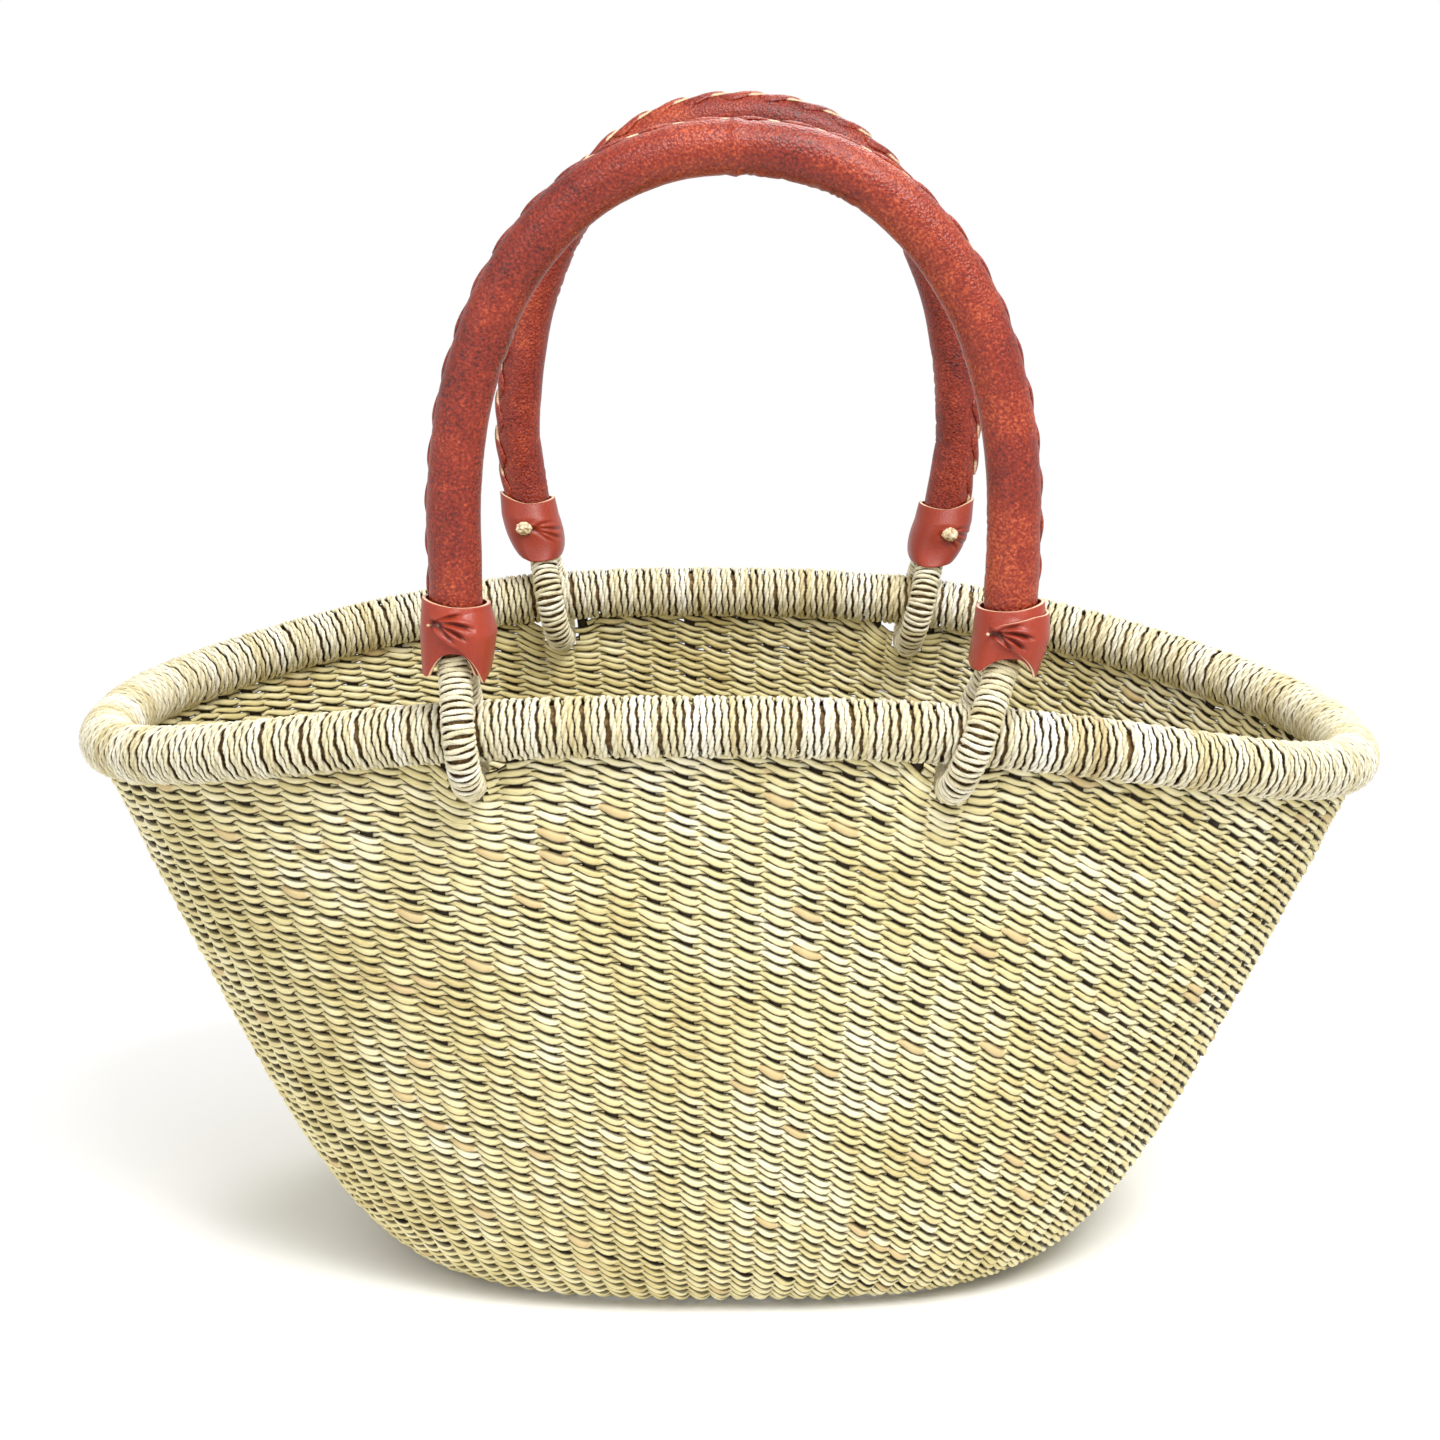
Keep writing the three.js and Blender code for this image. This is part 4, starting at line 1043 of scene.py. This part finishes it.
def make_loops(winding, handle):
    for end, hand in enumerate(("left", "right")):
        line = handle.to_frame(resampled(handle.loop_line(end), 1 * MM))
        length = float(np.linalg.norm(np.diff(line, axis=0), axis=1).sum())
        guide = tube_guide("loop_guide", line, LOOP_GUIDE_RADIUS, handle.x_axis)
        wraps = round(length / LOOP_WRAP_PITCH)
        name = f"{handle.name}_{hand}_loop_binding"
        mesh = grown(name + "_cord", guide, winding, {
            "Wraps": float(wraps), "First share": 0.01, "Last share": 0.99, "Half width": 1.08 * MM,
            "Half thickness": 0.72 * MM, "Lobes": 0.14, "Plies per wrap": 4.6, "Wander": 1.0 / wraps,
            "Steps": 28, "Facets": 8, "Seed": 40 + end + 2 * handle.side, "Material": CORD})
        piece(name + "_cord", mesh, None, handle.body, "grass_cord_binding", name)


# ---- Handles -------------------------------------------------------------------------------------

def frame_along(line):
    """Directions along a handle's line, outwards from its arch, and across it."""
    along = tangents(line)
    across = np.zeros_like(line)
    across[:, 1] = 1
    outward = np.cross(along, across)
    return along, outward, across


def make_sleeve(handle):
    spacing = 1.1 * MM
    line = resampled(handle.sleeve_line(), spacing)
    along, outward, across = frame_along(line)
    turn = np.linspace(0, TURN, 48, endpoint=False)
    ring = outward[:, None] * np.cos(turn)[:, None] + across[:, None] * np.sin(turn)[:, None]
    travelled = np.arange(len(line)) * spacing
    total = travelled[-1]
    skin = line[:, None] + ring * SLEEVE_RADIUS
    front = handle.side < 0

    # Long soft lumps of the rope inside, and fine creases that run round the tube.
    seed = 3 if front else 8
    round_y = 0.3 * SLEEVE_RADIUS * np.cos(turn)[None]
    round_z = 0.3 * SLEEVE_RADIUS * np.sin(turn)[None]
    around = np.stack(np.broadcast_arrays(travelled[:, None] * 1.0, round_y, round_z), -1)
    soft = lumps(skin, 14 * MM, seed) * 0.35 * MM
    fine = lumps(around, 1.6 * MM, seed + 1)
    crease_share = 0.35 + 0.65 * np.clip(-np.cos(turn), 0, 1)
    patches = np.clip(lumps(skin, 22 * MM, seed + 2) * 2 + 0.3, 0, 1)
    fine = np.minimum(fine, 0.12) * 0.75 * MM * crease_share * patches
    ends = np.clip(np.minimum(travelled, total - travelled) / (14 * MM), 0, 1)[:, None]

    # The front sleeve is joined at its middle: a ridge round the tube, with small dents beside it.
    from_middle = travelled - total / 2
    middle = np.exp(-((from_middle / (1.3 * MM)) ** 2))[:, None]
    ridge = 0.55 * MM * middle * (0.6 + 0.4 * np.clip(-np.cos(turn), 0, 1)) * front
    beside = sum(np.exp(-(((from_middle - aside * MM) / (0.8 * MM)) ** 2)) for aside in (-3.4, 3.1, 5.6))
    dents = -0.22 * MM * beside[:, None] * front
    radius = SLEEVE_RADIUS - 0.35 * MM + (soft + fine) * ends + ridge + dents
    outer = line[:, None] + ring * radius[..., None]
    inner = line[:, None] + ring * (SLEEVE_BORE_RADIUS + 0.05 * MM)
    rows = np.concatenate([outer, inner[::-1]])
    name = f"{handle.name}_sleeve_leather"
    mesh = grid_mesh(name, handle.to_frame(rows), wraps_across=True, wraps_along=True)
    face_out(mesh)
    piece(name, mesh, HANDLE_LEATHER, handle.body, "handle_leather", f"{handle.name}_handle_sleeve")


def thong_mesh():
    """One stitch of a flat thong: domed, a little S-shaped, lying over the last and under the next."""
    length, width, thickness = 16.0 * MM, 4.2 * MM, 1.0 * MM
    share = np.linspace(-0.5, 0.5, 11)
    blunt = np.clip((0.5 - np.abs(share)) / 0.16, 0.25, 1) ** 0.6
    bend = 0.9 * MM * np.sin(share * TURN)
    raise_by = -0.4 * MM - 0.3 * MM * share - (share * length) ** 2 / (2 * 80 * MM)
    # Half of the section as shares of the width and thickness. The other half mirrors it.
    half = [(0.5, 0), (0.46, 0.55), (0.25, 0.95)]
    section = [(-w, h) for w, h in half] + [(0, 1.1)] + half[::-1] + [(0, -0.35)]
    rows = np.array([
        [(s * length, b + w * width * k, r + h * thickness * (0.3 + 0.7 * k)) for w, h in section]
        for s, k, b, r in zip(share, blunt, bend, raise_by)])
    # The stitch lies round the tube, though it is turned a little from the seam.
    beside = rows[..., 1] + rows[..., 0] * math.sin(STITCH_TURN)
    rows[..., 2] -= beside**2 / (2 * SLEEVE_RADIUS)
    mesh = grid_mesh("thong", rows, wraps_along=True, capped=True)
    face_out(mesh)
    raw = np.zeros((len(share), len(section)))
    raw[0] = 1
    raw[:4, 5:7] = 1
    add_values(mesh, "raw_edge", raw)
    return mesh


def make_lacing(handle, lacing, thong):
    line = resampled(handle.sleeve_line(), 0.5 * MM)
    heights = line[:, 2]
    line = line[(heights > handle.cuff_top + LACING_END_GAP + 4 * MM) | (heights > ARCH_SPRING_HEIGHT)]
    line = resampled(line, STITCH_PITCH)
    along, outward, across = frame_along(line)
    lean = LACING_TURN * -handle.side
    ridge = outward * math.cos(lean) + across * math.sin(lean)
    places = handle.to_frame(line + ridge * (SLEEVE_RADIUS + 0.1 * MM))
    mesh = bpy.data.meshes.new("seam")
    mesh.from_pydata(places.tolist(), [], [])
    turned = np.stack([handle.x_axis, handle.y_axis, handle.z_axis])
    add_values(mesh, "along", -(along @ turned), "FLOAT_VECTOR")
    add_values(mesh, "outward", ridge @ turned, "FLOAT_VECTOR")
    seam = bpy.data.objects.new("seam", mesh)
    bpy.context.scene.collection.objects.link(seam)
    name = f"{handle.name}_lacing_thong"
    mesh = grown(name, thong, lacing, {
        "Turn": STITCH_TURN, "Jitter": math.radians(3), "Seed": 4, "Seam": seam,
        "Material": HANDLE_LEATHER})
    bpy.data.objects.remove(seam)
    piece(name, mesh, None, handle.body, "handle_leather", f"{handle.name}_handle_lacing")


def leg_reach(handle, height):
    """How far a loop's legs reach from the middle of the cuff at a height."""
    y, z = handle.loop_line(0)[:24, 1:].T
    return np.interp(height, z[::-1], y[::-1]) + LOOP_RADIUS


def cuff_skin(handle, end, turn, height, out=0.0):
    """A point on the cuff. The turn runs from its outside face towards the basket's right."""
    share = np.clip((height - handle.cuff_bottom) / (handle.cuff_top - handle.cuff_bottom), -0.2, 1)
    knee = (SLEEVE_START - handle.cuff_bottom) / (handle.cuff_top - handle.cuff_bottom)
    low = np.clip(share / knee, 0, 1)
    high = np.clip((share - knee) / (1 - knee), 0, 1)
    belly = 0.6 * MM * np.sin(np.pi * np.clip(share, 0, 1))
    hem_width = LOOP_RADIUS + CUFF_HEM_EASE
    if handle.side > 0:
        # The back cuffs are drawn in round their strands.
        hem_width = LOOP_RADIUS + CUFF_THICKNESS + 0.3 * MM
        low = np.sqrt(np.clip(1 - (1 - np.clip(share / 0.5, 0, 1)) ** 2, 0, 1))
    width = hem_width + (CUFF_TOP_RADIUS - hem_width) * low + belly + out
    depth_low = leg_reach(handle, height) + CUFF_THICKNESS + 0.6 * MM
    depth = depth_low + (CUFF_TOP_RADIUS - depth_low) * high + belly + out
    power = 3 - np.clip(share, 0, 1)
    sine, cosine = np.sin(turn), np.cos(turn)
    x = width * np.sign(sine) * np.abs(sine) ** (2 / power)
    y = handle.side * depth * np.sign(cosine) * np.abs(cosine) ** (2 / power)
    return np.stack([handle.cuff_x(end, height) + x, y, height + 0 * x], -1)


def crease_depth(beside, above, face):
    """How far the leather is drawn in by the pinch and the creases that run from it to the right."""
    away = np.hypot(beside, above)
    bearing = np.arctan2(above, beside)
    depth = PINCH_DEPTH * np.exp(-((away / PINCH_RADIUS) ** 2))
    for centre, reach, strength in PINCH_CREASES:
        # Each crease bends a little, and has a low ridge along its upper side.
        bend = math.radians(centre) - 0.025 * (away / MM - 5)
        aside = away * np.sin(np.clip(bearing - bend, -np.pi / 2, np.pi / 2))
        along = np.clip((away / MM - 0.6) / 1.5, 0, 1) * np.clip((reach - away / MM) / 3.0, 0, 1)
        ahead = np.cos(bearing - bend) > 0
        crease = strength * MM * ahead * along
        depth = depth + crease * np.exp(-((aside / (0.55 * MM)) ** 2))
        depth = depth - 0.4 * crease * np.exp(-(((aside - 1.1 * MM) / (0.8 * MM)) ** 2))
    return depth * face


def shell_mesh(name, outer, inner, creases, rings):
    """A sheet of leather with thickness: rows of its outer face, then of its inner face."""
    edge = 0.3
    low = [outer[0] + (inner[0] - outer[0]) * share for share in (1 - edge, edge)]
    high = [outer[-1] + (inner[-1] - outer[-1]) * share for share in (edge, 1 - edge)]
    rows = np.concatenate([outer, high, inner[::-1], low])
    raw = np.zeros(rows.shape[:2])
    raw[len(outer):len(outer) + 2] = 1
    raw[-2:] = 1
    # The outer face carries the painted shade of its creases.
    crease = np.zeros(rows.shape[:2])
    crease[:len(outer)] = creases
    if rings:
        mesh = grid_mesh(name, rows, wraps_across=True, wraps_along=True)
    else:
        rows, raw, crease = rows.transpose(1, 0, 2), raw.T, crease.T
        mesh = grid_mesh(name, rows, wraps_along=True, capped=True)
    face_out(mesh)
    add_values(mesh, "raw_edge", raw)
    add_values(mesh, "crease", crease)
    return mesh


def make_cuff(handle, end, hand):
    name = f"{handle.name}_{hand}_cuff"
    front = handle.side < 0
    pinch_z = (34.5 - 1.5 * end if front else 28) * MM
    turn = np.linspace(0, TURN, 128, endpoint=False)
    face = np.clip(np.cos(turn) * 3, 0, 1)
    behind = np.clip(-np.cos(turn) * 3, 0, 1)

    def skin(turn, height, out, face):
        """A point on the creased cuff, and how much painted shade its crease gets."""
        place = cuff_skin(handle, end, turn, height, out)
        beside = place[..., 0] - handle.cuff_x(end, height) - PINCH_OFFSET
        depth = crease_depth(beside, height - pinch_z, face)
        if not front:
            beside = place[..., 0] - handle.cuff_x(end, height)
            depth = depth + 0.5 * crease_depth(beside, height - TIE_HEIGHT + 2 * MM, behind)
        return cuff_skin(handle, end, turn, height, out - depth), np.clip(depth / MM - 0.35, 0, 0.8)

    # The hem is arched over the strands in front, and its corners hang low.
    aside = np.sin(turn)
    rise = (3.4 if end else 6.3) * MM
    arch = rise * np.clip(1 - (aside / 0.66) ** 2, 0, 1) * np.abs(np.cos(turn)) * front
    hem = handle.cuff_bottom + 2.6 * MM * end * front
    bottom = hem + arch + 0.4 * MM * np.sin(3 * turn + 1)
    smile = (0.7 if front else 2.0) * MM * np.abs(aside) ** 1.5
    lean = 0.9 * MM * aside * (1 if end else -1)
    top = handle.cuff_top - 1.8 * MM + smile + lean
    rows = np.linspace(0, 1, 46)[:, None]
    height = bottom + (top - bottom) * rows
    outer, creases = skin(turn, height, 0.0, face)
    inner, _ = skin(turn, height, -CUFF_THICKNESS + 0.1 * MM, face * 0.15)
    mesh = shell_mesh(name + "_leather", handle.to_frame(outer), handle.to_frame(inner), creases, True)
    piece(name + "_leather", mesh, CUFF_LEATHER, handle.body, "cuff_leather", name)

    if front:
        # The lapped end: from the pinch down to a hanging tip, and round the right side.
        turn = np.linspace(-0.62, 2.3, 80)
        tip_turn = 1.02
        run = np.clip((turn - turn[0]) / (tip_turn - turn[0]), 0, 1)
        past = np.clip((turn - tip_turn) / (turn[-1] - tip_turn), 0, 1)
        low = pinch_z - (pinch_z - hem + 2.6 * MM) * run**1.1 + 3.5 * MM * np.sqrt(past)
        rise = np.clip((turn - turn[0]) / 1.2, 0, 1)
        fold = handle.cuff_top - (3.6 if end else 2.2) * MM
        high = pinch_z + 0.2 * MM + (fold - pinch_z) * rise ** (0.5 if end else 0.8)
        rows = np.linspace(0, 1, 34)[:, None]
        height = low + (high - low) * rows
        face = np.clip(np.cos(turn) * 3, 0, 1)
        fade = np.clip((turn[-1] - turn) / 0.6, 0, 1)
        upper = 1.0 if end else np.clip((1 - rows) / 0.4, 0, 1)
        lift = 1.15 * MM * fade * upper - 0.25 * MM * (1 - fade * upper)
        outer, creases = skin(turn, height, lift, face)
        inner, _ = skin(turn, height, lift - FLAP_THICKNESS, face)
        mesh = shell_mesh(name + "_flap", handle.to_frame(outer), handle.to_frame(inner), creases, False)
        piece(name + "_flap", mesh, CUFF_LEATHER, handle.body, "cuff_leather")


def crumpled(mesh_parts, centre, size, seed, detail=4):
    """A crumpled lump of rawhide, added to the parts of a mesh."""
    work = bmesh.new()
    bmesh.ops.create_icosphere(work, subdivisions=detail, radius=1)
    points = np.array([vertex.co[:] for vertex in work.verts])
    faces = [[vertex.index for vertex in facet.verts] for facet in work.faces]
    work.free()
    ridges = 1 - np.abs(lumps(points, 0.55, seed)) * 2.2
    fine = lumps(points, 0.24, seed + 1)
    points = points * (0.72 + 0.3 * ridges + 0.12 * fine)[:, None] * np.asarray(size)
    first = sum(len(p) for p, _ in mesh_parts)
    mesh_parts.append((points + centre, [[first + k for k in facet] for facet in faces]))


def make_tie(handle, end, hand):
    name = f"{handle.name}_{hand}_cuff_tie"
    parts = []
    seed = 60 + end + 2 * handle.side
    inside = -handle.side
    x = handle.cuff_x(end, TIE_HEIGHT)
    depth = abs(cuff_skin(handle, end, 0.0, TIE_HEIGHT)[1])
    beside = (2.2 if end else -1.8) * MM
    height = TIE_HEIGHT - (1.5 * MM if handle.side > 0 else 0)
    crumpled(parts, (x + beside, inside * (depth + 0.6 * MM), height), (3.1 * MM, 2.0 * MM, 2.5 * MM), seed)
    front = handle.side < 0
    pinch = (x - 7.0 * MM, handle.side * (depth - 1.5 * MM), (34.3 - 1.5 * end if front else 27.8) * MM)
    crumpled(parts, pinch, (0.6 * MM, 0.8 * MM, 0.45 * MM), seed + 5, 3)
    mesh = bpy.data.meshes.new(name + "_rawhide")
    points = np.concatenate([p for p, _ in parts])
    mesh.from_pydata(handle.to_frame(points).tolist(), [], [facet for _, group in parts for facet in group])
    mesh.shade_smooth()
    piece(name + "_rawhide", mesh, RAWHIDE, handle.body, "rawhide", name)


def make_handles():
    winding = winding_tree()
    make_rim(winding)
    lacing = lacing_tree()
    thong = thong_mesh()
    for handle in HANDLE_LINES:
        make_loops(winding, handle)
        make_sleeve(handle)
        make_lacing(handle, lacing, thong)
        for end, hand in enumerate(("left", "right")):
            make_cuff(handle, end, hand)
            make_tie(handle, end, hand)


def dress_cores():
    """The rope cores inside the bindings and sleeves keep their shape and get their grass."""
    for name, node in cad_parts.items():
        if name.endswith("_core"):
            node.data.materials.clear()
            node.data.materials.append(BUNDLE)


# ---- Stage ---------------------------------------------------------------------------------------

def make_camera():
    camera = bpy.data.cameras.new("camera")
    camera.lens = 69.16
    camera.sensor_width = 36
    camera.clip_end = 20
    obj = bpy.data.objects.new("camera", camera)
    obj.location = (-3.14 * MM, -905.5 * MM, 377.2 * MM)
    obj.rotation_euler = (math.pi / 2 - 0.225, 0, 0)
    bpy.context.scene.collection.objects.link(obj)
    bpy.context.scene.camera = obj


def make_floor():
    mesh = bpy.data.meshes.new("floor")
    half = 6.0
    corners = [(-half, -half, 0), (half, -half, 0), (half, half, 0), (-half, half, 0)]
    mesh.from_pydata(corners, [], [(0, 1, 2, 3)])
    floor, tree, shader = material("pale_floor", Roughness=0.8, Specular_IOR_Level=0.1)
    shader.inputs["Base Color"].default_value = colour("#FAFAF9")
    # The paper fades into the white of the room, half a metre from the basket's middle.
    place = add(tree, COORDINATES, out="Object")
    away = add(tree, VECTOR_MATH, [place], out="Value", operation="LENGTH")
    fade = add(tree, MAP_RANGE, [away, 0.2, 0.52, 0.0, 1.0], interpolation_type="SMOOTHSTEP")
    glow = add(tree, "ShaderNodeEmission", [(1.0, 1.0, 1.0, 1.0), 1.0])
    mixed = add(tree, "ShaderNodeMixShader", [fade, shader.outputs[0], glow])
    tree.links.new(mixed, tree.nodes["Material Output"].inputs["Surface"])
    mesh.materials.append(floor)
    obj = bpy.data.objects.new("floor", mesh)
    bpy.context.scene.collection.objects.link(obj)
    obj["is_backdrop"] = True


def add_light(name, place, size, power):
    light = bpy.data.lights.new(name, "AREA")
    light.shape = "SQUARE"
    light.size = size
    light.energy = power
    obj = bpy.data.objects.new(name, light)
    obj.location = place
    direction = Vector((0, 0, 0.15)) - Vector(place)
    obj.rotation_euler = direction.to_track_quat("-Z", "Y").to_euler()
    bpy.context.scene.collection.objects.link(obj)


def make_lights():
    add_light("key_light", (0.8, -0.95, 1.9), 0.9, 30)
    add_light("inside_light", (0.15, -0.6, 1.0), 0.5, 4.6)
    add_light("front_fill", (-1.6, -1.8, 1.1), 1.2, 10)
    add_light("back_light", (0.4, 1.6, 1.7), 1.0, 16)
    world = bpy.data.worlds.new("studio")
    world.use_nodes = True
    background = world.node_tree.nodes["Background"]
    background.inputs["Color"].default_value = colour("#FFFFFF")
    # The room is white to look at, and lights the basket a little less than that.
    seen = add(world.node_tree, "ShaderNodeLightPath", out="Is Camera Ray")
    strength = add(world.node_tree, MAP_RANGE, [seen, 0.0, 1.0, 0.8, 1.0])
    world.node_tree.links.new(strength, background.inputs["Strength"])
    bpy.context.scene.world = world
    bpy.context.scene.view_settings.view_transform = "Standard"


# ---- The build -----------------------------------------------------------------------------------

make_camera()
make_weave()
make_handles()
dress_cores()
make_floor()
make_lights()

boxes = {"cad": cad_box, "visual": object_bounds()}
{name: [list(corner) for corner in box] for name, box in boxes.items()}
